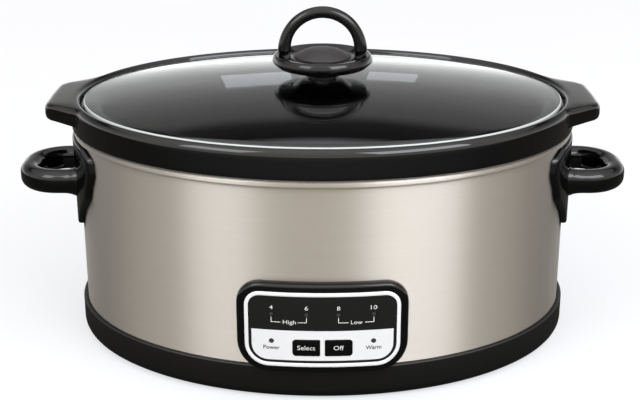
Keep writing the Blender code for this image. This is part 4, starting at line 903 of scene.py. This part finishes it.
def word(text, middle, baseline, cap, width, outset, heavier=0.0):
    """A printed word: its middle, baseline, capital height, width, surface and added stroke weight."""
    curve = bpy.data.curves.new(text, "FONT")
    curve.body = text
    curve.size = cap / CAP_SHARE
    curve.extrude = INK / 2
    curve.offset = heavier
    curve.resolution_u = 4
    item = bpy.data.objects.new("print_" + text, curve)
    bpy.context.scene.collection.objects.link(item)
    item = settled(item)
    xs = [vertex.co.x for vertex in item.data.vertices]
    left, right = min(xs), max(xs)
    stretch = width / (right - left)

    def stand(places):
        across = (places[:, 0] - (left + right) / 2) * stretch + middle
        return np.stack((across, outset + INK / 2 + places[:, 2], places[:, 1] + baseline), axis=1)
    return moved(item, stand)


def printed(name, pieces, finish, body, slot):
    """Lay printed pieces on the oval and join them into one object."""
    mesh = bmesh.new()
    for piece in pieces:
        mesh.from_mesh(moved(sliced(piece, 1 * MM), round_front).data)
        bpy.data.objects.remove(piece)
    return hand_over(smooth(coated(made(name, mesh), finish), 30), body, slot)


def bracket(left, right, word_left, word_right, top, foot):
    """The printed line that drops from two lights and runs to a heat setting's name."""
    half = STROKE / 2
    return [
        strip("bracket_left", (left - half, foot - half), (left + half, top), LABEL_FRONT),
        strip("bracket_right", (right - half, foot - half), (right + half, top), LABEL_FRONT),
        strip("bracket_run_left", (left + half, foot - half), (word_left, foot + half), LABEL_FRONT),
        strip("bracket_run_right", (word_right, foot - half), (right - half, foot + half), LABEL_FRONT),
    ]


light_x = [(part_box(name)[0].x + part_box(name)[1].x) / 2 for name in LIGHT_NAMES]
white_pieces = []
for hour, across, width in zip(("4", "6", "8", "10"), light_x, (2.3 * MM, 2.2 * MM, 2.2 * MM, 4.2 * MM)):
    white_pieces.append(word(hour, across, 72.3 * MM, 3.0 * MM, width, LABEL_FRONT))
white_pieces += bracket(light_x[0], light_x[1], -27.8 * MM, -16.4 * MM, 66.8 * MM, 63.3 * MM)
white_pieces += bracket(light_x[2], light_x[3], 17.3 * MM, 28.2 * MM, 66.8 * MM, 63.3 * MM)
white_pieces.append(word("High", -21.9 * MM, 62.1 * MM, 2.9 * MM, 8.6 * MM, LABEL_FRONT))
white_pieces.append(word("Low", 22.6 * MM, 62.1 * MM, 2.9 * MM, 7.6 * MM, LABEL_FRONT))
printed("white_printing", white_pieces, WHITE_INK, "heated_base", "black_film")

for side, ending in ((-1, "left"), (1, "right")):
    frame_outline = button_outline(side, BUTTON_GAP + BORDER)
    border_layers = ((frame_outline, LABEL_FRONT + INK), (frame_outline, LABEL_FRONT + 2 * INK))
    border = cut(slab(f"button_border_{ending}", border_layers), *window_cutters(LABEL_BACK))
    hand_over(smooth(moved(sliced(coated(border, WHITE_INK)), round_front), 32), "heated_base", "silver_film")

grey_pieces = [
    word("Power", light_x[4], 43.2 * MM, 2.9 * MM, 11.0 * MM, LABEL_FRONT + INK, 0.06 * MM),
    word("Warm", light_x[5], 43.2 * MM, 2.9 * MM, 10.6 * MM, LABEL_FRONT + INK, 0.06 * MM),
]
printed("grey_printing", grey_pieces, GREY_INK, "heated_base", "silver_film")

# ---- Lights ----------------------------------------------------------------------------------
# Six smoked acrylic lenses show through the label: four for the hours, one for power, one for
# warm.  They stand on the control board, keep their CAD shapes and are unlit.

# Cast smoked acrylic: dark brownish grey, polished, with light seen dimly through it.
SMOKED_ACRYLIC, tree, shader = start_material("smoked_acrylic", "3A3634", 0.12, IOR=1.49)
mottle(tree, shader, 1.0 * MM, 0.12, 0.03, 0.004 * MM)
dress(SMOKED_ACRYLIC, *LIGHT_NAMES)

# ---- Buttons ---------------------------------------------------------------------------------
# Two gloss ABS key caps that press 0.5 mm onto the board's switches.  Each has a shallow crown,
# a softened edge and its name in white ink.
CAP_BACK = PANEL_OUTSET - POCKET_SHEET - 1.5 * MM
CAP_FRONT = -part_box("select_button")[0].y - HALF_DEPTH
CAP_FLANGE = 1.2 * MM

for name, body, side, text, width in (
    ("select_button", "select_key", -1, "Select", 12.0 * MM), ("off_button", "off_key", 1, "Off", 6.8 * MM),
):
    cap_layers = (
        (button_outline(side, 3 * BUTTON_GAP), CAP_BACK),
        (button_outline(side, 3 * BUTTON_GAP), CAP_BACK + CAP_FLANGE),
        (button_outline(side, 0), CAP_BACK + CAP_FLANGE + 0.01 * MM),
        (button_outline(side, 0), CAP_FRONT - 0.35 * MM),
        (button_outline(side, -0.12 * MM), CAP_FRONT - 0.12 * MM),
        (button_outline(side, -0.4 * MM), CAP_FRONT - INK),
    )
    cap = moved(sliced(slab(name + "_cap", cap_layers)), round_front)
    hand_over(smooth(coated(cap, PIANO_BLACK), 32), body, "gloss_black_plastic", name)
    letters = [word(text, side * BUTTON_X, 43.4 * MM, 3.3 * MM, width, CAP_FRONT - INK)]
    printed(name + "_name", letters, WHITE_INK, body, "white_plastic")

# ---- Cord gland ------------------------------------------------------------------------------
# A moulded gland in the back of the tray guides the mains lead: an inner flange, a stem through
# the wall and a ribbed outer collar with the cable's bore.
GLAND_LOW, GLAND_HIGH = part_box("cord_gland")
GLAND_RADIUS = GLAND_HIGH.x
GLAND_BORE = 2.8 * MM
GLAND_STEM = 5 * MM
GLAND_WALL_OUT = 145.8 * MM
GLAND_WALL_IN = 137.2 * MM
gland_line = rounded((
    (GLAND_BORE, GLAND_HIGH.y, 0.8 * MM),
    (GLAND_RADIUS - 1.6 * MM, GLAND_HIGH.y, 0.8 * MM),
    (GLAND_RADIUS - 1.2 * MM, GLAND_WALL_OUT + 5.4 * MM, 0.3 * MM),
    (GLAND_RADIUS - 2.0 * MM, GLAND_WALL_OUT + 5.0 * MM, 0.3 * MM),
    (GLAND_RADIUS - 2.0 * MM, GLAND_WALL_OUT + 3.6 * MM, 0.3 * MM),
    (GLAND_RADIUS - 0.6 * MM, GLAND_WALL_OUT + 3.2 * MM, 0.3 * MM),
    (GLAND_RADIUS, GLAND_WALL_OUT + 1.2 * MM, 0.5 * MM),
    (GLAND_RADIUS, GLAND_WALL_OUT, 0.3 * MM),
    (GLAND_STEM, GLAND_WALL_OUT, 0.1 * MM),
    (GLAND_STEM, GLAND_WALL_IN, 0.1 * MM),
    (GLAND_RADIUS, GLAND_WALL_IN, 0.3 * MM),
    (GLAND_RADIUS, GLAND_LOW.y, 0.3 * MM),
    (GLAND_BORE, GLAND_LOW.y, 0.3 * MM),
), 4)
gland = turned("cord_gland_moulding", closed_loop(gland_line), SATIN_BLACK, 0, 0, 64)
gland_height = (GLAND_LOW.z + GLAND_HIGH.z) / 2
moved(gland, lambda places: np.stack((places[:, 0], places[:, 2], gland_height + places[:, 1]), axis=1))
hand_over(smooth(gland, 34), "heated_base", "satin_black_plastic", "cord_gland")

# ---- Crock -----------------------------------------------------------------------------------
# The crock is slip-cast stoneware in black gloss glaze: a tapered oval bowl with a deep rim, a
# ledge for the lid, and two lugs that grow out of the rim.  Its foot is left unglazed.
CROCK_TURNS = 576
CROCK_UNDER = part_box("crock")[0].z
CROCK_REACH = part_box("crock")[1].x
RIM_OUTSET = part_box("crock")[1].y - HALF_DEPTH
RIM_LOW = 158.5 * MM
CROCK_FOOT_INSET = 27 * MM
CROCK_NECK_INSET = 14.5 * MM
CROCK_INSIDE_TOP = 21.5 * MM
CROCK_INSIDE_FOOT = 34.5 * MM
CROCK_FLOOR = CROCK_UNDER + 8 * MM
LUG_ROOT = 51 * MM
LUG_TIP = 30 * MM
# Rim from the skirt up over the crest to the lid's seat: (outset, height, share of the lug's
# reach, lift where the lug is).
RIM_LINE = (
    (3.7, 163.0, 0, 0), (3.7, 164.0, 0.02, 0), (3.7, 164.7, 0.08, 0), (3.7, 165.2, 0.25, 0.1),
    (3.7, 165.6, 0.55, 0.1), (3.7, 166.0, 0.80, 0.1), (3.7, 166.5, 0.91, 0.1), (3.7, 167.3, 0.96, 0),
    (3.7, 168.5, 0.985, 0), (3.7, 170.0, 1, 0), (3.7, 171.4, 1, 0.4), (3.7, 172.7, 0.995, 0.9),
    (3.66, 174.0, 0.98, 1.4), (3.5, 175.2, 0.955, 1.5), (3.15, 176.3, 0.92, 1.2), (2.65, 177.3, 0.86, 0.7),
    (1.95, 178.2, 0.74, 0.1), (1.1, 178.85, 0.48, -0.2), (0.3, 179.2, 0.18, -0.1), (-0.5, 179.3, 0, 0),
    (-1.3, 179.1, 0, 0), (-2.0, 178.5, 0, 0), (-2.6, 177.5, 0, 0), (-3.0, 176.2, 0, 0), (-3.25, 175.0, 0, 0),
    (-3.5, 174.1, 0, 0), (-4.1, 173.5, 0, 0), (-5.0, 173.3, 0, 0), (-12.0, 173.3, 0, 0), (-14.5, 172.9, 0, 0),
    (-17.0, 171.9, 0, 0), (-19.3, 170.2, 0, 0), (-20.8, 168.2, 0, 0), (-21.5, 166.0, 0, 0),
)

# Black glaze on stoneware: a deep wet gloss, pooled slightly unevenly, over a buff unglazed foot.
BLACK_GLAZE, tree, shader = start_material("black_glazed_stoneware", "080707", 0.035, IOR=1.5)
place = add(tree, "ShaderNodeTexCoord").outputs["Object"]
pool = add(tree, "ShaderNodeTexNoise", {"Vector": place, "Scale": 1 / (30 * MM), "Detail": 0.0})
height = add(tree, "ShaderNodeSeparateXYZ", {0: place}).outputs["Z"]
wander = add(tree, "ShaderNodeMath", {0: pool.outputs["Fac"], 1: 3 * MM, 2: CROCK_UNDER}, operation="MULTIPLY_ADD")
bare = add(tree, "ShaderNodeMath", {0: height, 1: wander.outputs[0]}, operation="LESS_THAN")
tinted(tree, shader, bare.outputs[0], "080707", "B59F80")
glossed(tree, shader, bare.outputs[0], 0.035, 0.85)
embossed(tree, shader, pool.outputs["Fac"], 0.15 * MM, 0.25)

crock_under = rounded((
    (-FLOOR_INSET, CROCK_UNDER, 0),
    (-CROCK_FOOT_INSET, CROCK_UNDER, 8 * MM),
    (-CROCK_NECK_INSET, RIM_LOW, 2 * MM),
    (RIM_OUTSET, RIM_LOW, 1.4 * MM),
    (RIM_OUTSET, 162 * MM, 0),
), closed=False)
crock_inside = rounded((
    (-CROCK_INSIDE_TOP, 165 * MM, 0), (-CROCK_INSIDE_FOOT, CROCK_FLOOR, 14 * MM), (-FLOOR_INSET, CROCK_FLOOR, 0),
), closed=False)
rim_line = [(outset * MM, height * MM) for outset, height, _, _ in RIM_LINE]
crock_line = [(p[0], 1.0, p[1]) for p in list(crock_under) + rim_line + list(crock_inside)]
crock_line = [(0, 0, CROCK_UNDER)] + crock_line + [(0, 0, CROCK_FLOOR)]
crock = turned("crock_casting", crock_line, BLACK_GLAZE, turns=CROCK_TURNS)

rim_start = 1 + len(crock_under)
lug_share = np.zeros(len(crock_line))
lug_lift = np.zeros(len(crock_line))
for index, (_, _, share, lift) in enumerate(RIM_LINE):
    lug_share[rim_start + index] = share
    lug_lift[rim_start + index] = lift * MM
lug_plan = rounded((
    (0, CROCK_REACH, 0), (LUG_TIP, CROCK_REACH - 0.5 * MM, 13 * MM),
    (LUG_ROOT, 173.5 * MM, 16 * MM), (70 * MM, 163.6 * MM, 0),
), 12, closed=False)
rows = np.empty(len(crock.data.vertices), np.float32)
crock.data.attributes["profile_row"].data.foreach_get("value", rows)


def pull_lugs(places):
    """Pull the rim out into a lug at each end and lift its top to the lug's flatter section."""
    x, y, z = places.T
    rim = (HALF_LENGTH + RIM_OUTSET) * np.sqrt(np.clip(1 - (y / (HALF_DEPTH + RIM_OUTSET)) ** 2, 0, 1))
    plan = np.interp(np.abs(y), [p[0] for p in lug_plan], [p[1] for p in lug_plan])
    reach = np.where(np.abs(y) < 62 * MM, np.maximum(plan - rim, 0), 0) * (np.abs(x) > HALF_LENGTH / 2)
    share = np.interp(rows, range(len(lug_share)), lug_share)
    lift = np.interp(rows, range(len(lug_lift)), lug_lift)
    full = np.clip(reach / (12 * MM), 0, 1)
    return np.stack((x + np.sign(x) * reach * share, y, z + lift * full), axis=1)


moved(crock, pull_lugs)
crock.data.attributes.remove(crock.data.attributes["profile_row"])
hand_over(smooth(crock, 50), "crock_body", "black_glaze", "crock")

# ---- Lid glass -------------------------------------------------------------------------------
# A 4 mm tempered-glass lid, sagged to a low dome, with a ground edge and a drilled hole for the
# knob's screw.
LID_HALF_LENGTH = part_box("lid_glass")[1].x
LID_HALF_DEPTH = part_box("lid_glass")[1].y
LID_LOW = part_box("lid_glass")[0].z
LID_SHEET = 4 * MM
LID_EDGE_TOP = LID_LOW + LID_SHEET
LID_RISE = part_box("lid_glass")[1].z - LID_EDGE_TOP
LID_HOLE_SHARE = 0.021
LID_EDGE_ROUND = 1.5 * MM
GROUND_FROM_SHARE = 0.9935

# Tempered soda-lime glass: clear with a faint grey cast, polished; its edge is ground and matt.
CLEAR_GLASS, tree, shader = start_material("tempered_glass", "E4E8E8", 0.0, IOR=1.52, Transmission_Weight=1.0)
place = add(tree, "ShaderNodeTexCoord").outputs["Object"]
wave = add(tree, "ShaderNodeTexNoise", {"Vector": place, "Scale": 1 / (60 * MM), "Detail": 1.0})
embossed(tree, shader, wave.outputs["Fac"], 0.4 * MM, 0.25)
GROUND_EDGE, tree, shader = start_material("ground_glass_edge", "BDC1BF", 0.45, IOR=1.52,
                                           Transmission_Weight=0.1)
mottle(tree, shader, 0.8 * MM, 0.45, 0.08, 0.02 * MM)

shares = np.linspace(LID_HOLE_SHARE, 0.985, 28)
dome = [(0, share, LID_EDGE_TOP + LID_RISE * (1 - share ** 2)) for share in shares]
edge_line = rounded((
    (-4 * MM, LID_EDGE_TOP + 0.5 * MM, 0),
    (0, LID_EDGE_TOP, LID_EDGE_ROUND),
    (0, LID_LOW, LID_EDGE_ROUND),
    (-4 * MM, LID_LOW + 0.5 * MM, 0),
), closed=False)[1:-1]
edge_line = [(p[0], 1.0, p[1]) for p in edge_line]
under = [(0, share, height - LID_SHEET) for _, share, height in reversed(dome)]
lid = turned("lid_glass_dome", closed_loop(dome + edge_line + under), CLEAR_GLASS, LID_HALF_LENGTH, LID_HALF_DEPTH)
lid.data.materials.append(GROUND_EDGE)
for polygon in lid.data.polygons:
    x, y, _ = polygon.center
    beyond = math.hypot(x / LID_HALF_LENGTH, y / LID_HALF_DEPTH)
    polygon.material_index = 1 if beyond > GROUND_FROM_SHARE else 0
hand_over(smooth(lid, 40), "lid", "clear_glass", "lid_glass")

# ---- Knob ------------------------------------------------------------------------------------
# One phenolic moulding on the lid: a finger disc with a rolled rim and a short flare under it, a
# matt lens let into its middle, and an arched loop.  A screw, washer and seal hold it.
KNOB_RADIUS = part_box("lid_knob")[1].x
KNOB_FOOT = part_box("lid_knob")[0].z
KNOB_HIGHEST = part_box("lid_knob")[1].z
KNOB_NECK = 11 * MM
KNOB_UNDER = 199 * MM
RIM_TOP = 208.2 * MM
LENS_RADIUS = 21 * MM
KNOB_BELL = 16 * MM
KNOB_BELL_LOW = 193.6 * MM
ARCH_RADIUS = 28 * MM
ARCH_THICKNESS = 8.6 * MM
ARCH_CENTRE = KNOB_HIGHEST - ARCH_RADIUS - ARCH_THICKNESS / 2
ARCH_FOOT_FLARE = 0.22
KNOB_HOLE = 2.8 * MM

knob_line = rounded((
    (0, 206.2 * MM, 0),
    (LENS_RADIUS + 1.5 * MM, 206.2 * MM, 1 * MM),
    (LENS_RADIUS + 5.0 * MM, 205.4 * MM, 2 * MM),
    (KNOB_RADIUS - 5.2 * MM, RIM_TOP - 0.4 * MM, 1.5 * MM),
    (KNOB_RADIUS - 1.2 * MM, RIM_TOP, 2.5 * MM),
    (KNOB_RADIUS + 0.5 * MM, KNOB_UNDER + 4.2 * MM, 2.2 * MM),
    (KNOB_RADIUS - 4 * MM, KNOB_UNDER, 1.8 * MM),
    (KNOB_BELL + 6 * MM, KNOB_UNDER - 0.6 * MM, 2 * MM),
    (KNOB_BELL, KNOB_BELL_LOW, 2 * MM),
    (KNOB_NECK, KNOB_BELL_LOW, 0.5 * MM),
    (KNOB_NECK, KNOB_FOOT, 0.6 * MM),
    (0, KNOB_FOOT, 0),
), 6, closed=False)
disc = smooth(turned("lid_knob_moulding", [(p[0], p[1]) for p in knob_line], GLOSS_BLACK, 0, 0, 160))
arch = []
for step in range(65):
    turn = math.pi * step / 64
    arch.append((ARCH_RADIUS * math.cos(turn), ARCH_CENTRE + ARCH_RADIUS * math.sin(turn)))
foot_height = RIM_TOP - 3 * MM
arch = [(ARCH_RADIUS, foot_height)] + arch + [(-ARCH_RADIUS, foot_height)]
thickness = [1 + ARCH_FOOT_FLARE * max(0, 1 - (z - foot_height) / (22 * MM)) ** 1.5 for _, z in arch]
guide = path_mesh("knob_arch", [(x, 0, z) for x, z in arch], thickness)
arch = run_nodes("knob_arch", guide, BAR_ON_PATH, **{
    "Bar Width": ARCH_THICKNESS, "Bar Height": ARCH_THICKNESS, "Corner": 0.49 * ARCH_THICKNESS,
    "Finish": GLOSS_BLACK,
})
knob = joined(disc, smooth(arch))
hole_low, hole_high = KNOB_FOOT - MM, 202 * MM
hole_line = [(0, hole_low), (KNOB_HOLE, hole_low), (KNOB_HOLE, hole_high), (0, hole_high)]
hole = turned("knob_hole", hole_line, GLOSS_BLACK, 0, 0, 48)
knob = cut(knob, smooth(hole))
hand_over(smooth(knob, 36), "lid", "gloss_black_plastic", "lid_knob")

# Moulded phenolic lens, left matt from the tool: dark plum grey.
LENS_MATT, tree, shader = start_material("matt_phenolic_lens", "2A2729", 0.5, IOR=1.5)
mottle(tree, shader, 0.5 * MM, 0.5, 0.05, 0.01 * MM)
lens_line = rounded((
    (0, 212.4 * MM, 0), (0.5 * LENS_RADIUS, 211.9 * MM, 24 * MM), (LENS_RADIUS, 207.0 * MM, 0.5 * MM),
    (LENS_RADIUS, 205.9 * MM, 0.1 * MM), (0, 205.9 * MM, 0),
), 6, closed=False)
lens = turned("knob_lens", [(p[0], p[1]) for p in lens_line], LENS_MATT, 0, 0, 128)
hand_over(smooth(lens, 50), "lid", "gloss_black_plastic")
dress(PLATED_STEEL, "lid_screw", "lid_washer")
dress(RUBBER, "knob_seal")

# ---- Studio ----------------------------------------------------------------------------------
# A pale floor and a dim room: a grey room in front for the steel, a white wall behind that the
# glass catches, two soft boxes in front and two small windows behind.  The floor is white to the
# lens but dark to what reflects it, as under a cut-out white background.
FLOOR_SIZE = 12.0
FLOOR_FILL = 0.635
FLOOR_REAR_GLOW = 1.1
FLOOR_FRONT_GLOW = 0.25
SKY_STRENGTH = 1.9

# Painted board: matt white with the faint cloud of a roller.
PAINTED_FLOOR, tree, shader = start_material("painted_white_board", "8A8A8C", 0.95)
shader.inputs["Specular IOR Level"].default_value = 0.0
shader.inputs["Emission Color"].default_value = linear("FBFCFF")
place = add(tree, "ShaderNodeTexCoord").outputs["Object"]
cloud = add(tree, "ShaderNodeTexNoise", {"Vector": place, "Scale": 3.0, "Detail": 3.0})
tint = add(tree, "ShaderNodeMix", {"Factor": cloud.outputs["Fac"], 6: linear("888889"), 7: linear("8D8D8E")},
           data_type="RGBA")
seen = add(tree, "ShaderNodeLightPath").outputs["Is Camera Ray"]
coat = add(tree, "ShaderNodeMix", {"Factor": seen, 6: linear("434240"), 7: tint.outputs[2]}, data_type="RGBA")
tree.links.new(coat.outputs[2], shader.inputs["Base Color"])
behind = add(tree, "ShaderNodeSeparateXYZ", {0: place}).outputs["Y"]
rear = add(tree, "ShaderNodeMapRange", {"Value": behind, "From Min": 0.4, "From Max": 1.2,
                                        "To Max": FLOOR_REAR_GLOW})
front = add(tree, "ShaderNodeMapRange", {"Value": behind, "From Min": -0.3, "From Max": -0.9,
                                         "To Max": FLOOR_FRONT_GLOW})
glow = add(tree, "ShaderNodeMath", {0: rear.outputs["Result"], 1: front.outputs["Result"]}, operation="ADD")
fill = add(tree, "ShaderNodeMix", {"Factor": seen, 2: glow.outputs[0], 3: FLOOR_FILL}, data_type="FLOAT")
tree.links.new(fill.outputs[0], shader.inputs["Emission Strength"])
floor_data = bpy.data.meshes.new("studio_floor")
floor_data.from_pydata([(-FLOOR_SIZE, -FLOOR_SIZE, 0), (FLOOR_SIZE, -FLOOR_SIZE, 0), (FLOOR_SIZE, FLOOR_SIZE, 0),
                        (-FLOOR_SIZE, FLOOR_SIZE, 0)], [], [(0, 1, 2, 3)])
floor_data.materials.append(PAINTED_FLOOR)
studio_floor = bpy.data.objects.new("studio_floor", floor_data)
bpy.context.scene.collection.objects.link(studio_floor)


def sky_by_height(tree, rise, stops):
    """A colour by the rise of the ray: stops of (sine of the rise, colour)."""
    sky = add(tree, "ShaderNodeValToRGB", {"Fac": rise})
    ramp = sky.color_ramp
    ramp.elements[0].position, ramp.elements[0].color = stops[0][0], linear(stops[0][1])
    ramp.elements[1].position, ramp.elements[1].color = stops[-1][0], linear(stops[-1][1])
    for position, colour in stops[1:-1]:
        ramp.elements.new(position).color = linear(colour)
    return sky.outputs["Color"]


world = bpy.data.worlds.new("studio_sky")
bpy.context.scene.world = world
world.use_nodes = True
tree = world.node_tree
ray = add(tree, "ShaderNodeTexCoord").outputs["Generated"]
across, along, rise = add(tree, "ShaderNodeSeparateXYZ", {0: ray}).outputs
room = sky_by_height(tree, rise, (
    (0.0, "E3DDD3"), (0.30, "E3DDD4"), (0.45, "F0EBE3"), (0.7, "FCF9F4"), (0.85, "FFFDFA"), (1.0, "FFFFFF"),
))
side = add(tree, "ShaderNodeMath", {0: across}, operation="ABSOLUTE").outputs[0]
side = add(tree, "ShaderNodeMapRange", {"Value": side, "From Min": 0.45, "From Max": 0.9}).outputs["Result"]
room = add(tree, "ShaderNodeMix", {"Factor": side, 6: room, 7: linear("DEDBD6")}, data_type="RGBA").outputs[2]
wall = sky_by_height(tree, rise, (
    (0.0, "FFFFFF"), (0.06, "DADADA"), (0.10, "BEBEBE"), (0.13, "AFAFAF"), (0.16, "A5A5A5"), (0.19, "9D9D9D"),
    (0.24, "949493"), (0.31, "828281"), (0.375, "757574"), (0.438, "6B6B6A"), (0.50, "626261"), (0.54, "303030"),
    (0.60, "252525"), (0.625, "ABA9AD"), (0.80, "ABA9AD"), (0.9, "CCCCCC"), (1.0, "F0F0F0"),
))
facing = add(tree, "ShaderNodeMapRange", {"Value": along, "From Min": -0.2, "From Max": 0.4}).outputs["Result"]
sky = add(tree, "ShaderNodeMix", {"Factor": facing, 6: room, 7: wall}, data_type="RGBA").outputs[2]
background = tree.nodes["Background"]
background.inputs["Strength"].default_value = SKY_STRENGTH
tree.links.new(sky, background.inputs["Color"])

# Soft boxes: (name, bearing from the front and rise in degrees, distance, width, height,
# brightness, colour).
SOFT_BOXES = (
    ("front_left_box", -43, 37, 1.7, 0.74, 0.80, 4.6, "EFF6FF"),
    ("front_right_box", 39.5, 37, 1.7, 1.07, 0.80, 6.4, "EFF6FF"),
    ("rear_left_window", -174.3, 16.5, 2.0, 0.20, 0.24, 0.5, "F2F6FF"),
    ("rear_right_window", 174, 15, 2.0, 0.14, 0.16, 0.45, "F2F6FF"),
)
SOFT_BOX_AIM = Vector((0, 0, 0.13))
for name, bearing, rise, distance, width, height, brightness, colour in SOFT_BOXES:
    lamp = bpy.data.lights.new(name, "AREA")
    lamp.shape = "RECTANGLE"
    lamp.size = width
    lamp.size_y = height
    lamp.energy = brightness * math.pi * width * height
    lamp.color = linear(colour)[:3]
    soft_box = bpy.data.objects.new(name, lamp)
    turn, lift = math.radians(bearing), math.radians(rise)
    away = Vector((math.sin(turn) * math.cos(lift), -math.cos(turn) * math.cos(lift), math.sin(lift)))
    soft_box.location = SOFT_BOX_AIM + away * distance
    soft_box.rotation_euler = (-away).to_track_quat("-Z", "Y").to_euler()
    bpy.context.scene.collection.objects.link(soft_box)

# ---- Camera ----------------------------------------------------------------------------------
# A 71 mm lens a metre away, twenty degrees above the level and square to the panel.
CAMERA_PLACE = (0, -0.9085, 0.4235)
CAMERA_DIP = 19.97
lens_data = bpy.data.cameras.new("camera")
lens_data.lens = 70.87
lens_data.sensor_width = 36
lens_data.shift_x = -0.0039
lens_data.clip_end = 100
camera = bpy.data.objects.new("camera", lens_data)
camera.location = CAMERA_PLACE
camera.rotation_euler = (math.radians(90 - CAMERA_DIP), 0, 0)
bpy.context.scene.collection.objects.link(camera)
bpy.context.scene.camera = camera
bpy.context.scene.view_settings.view_transform = "Standard"
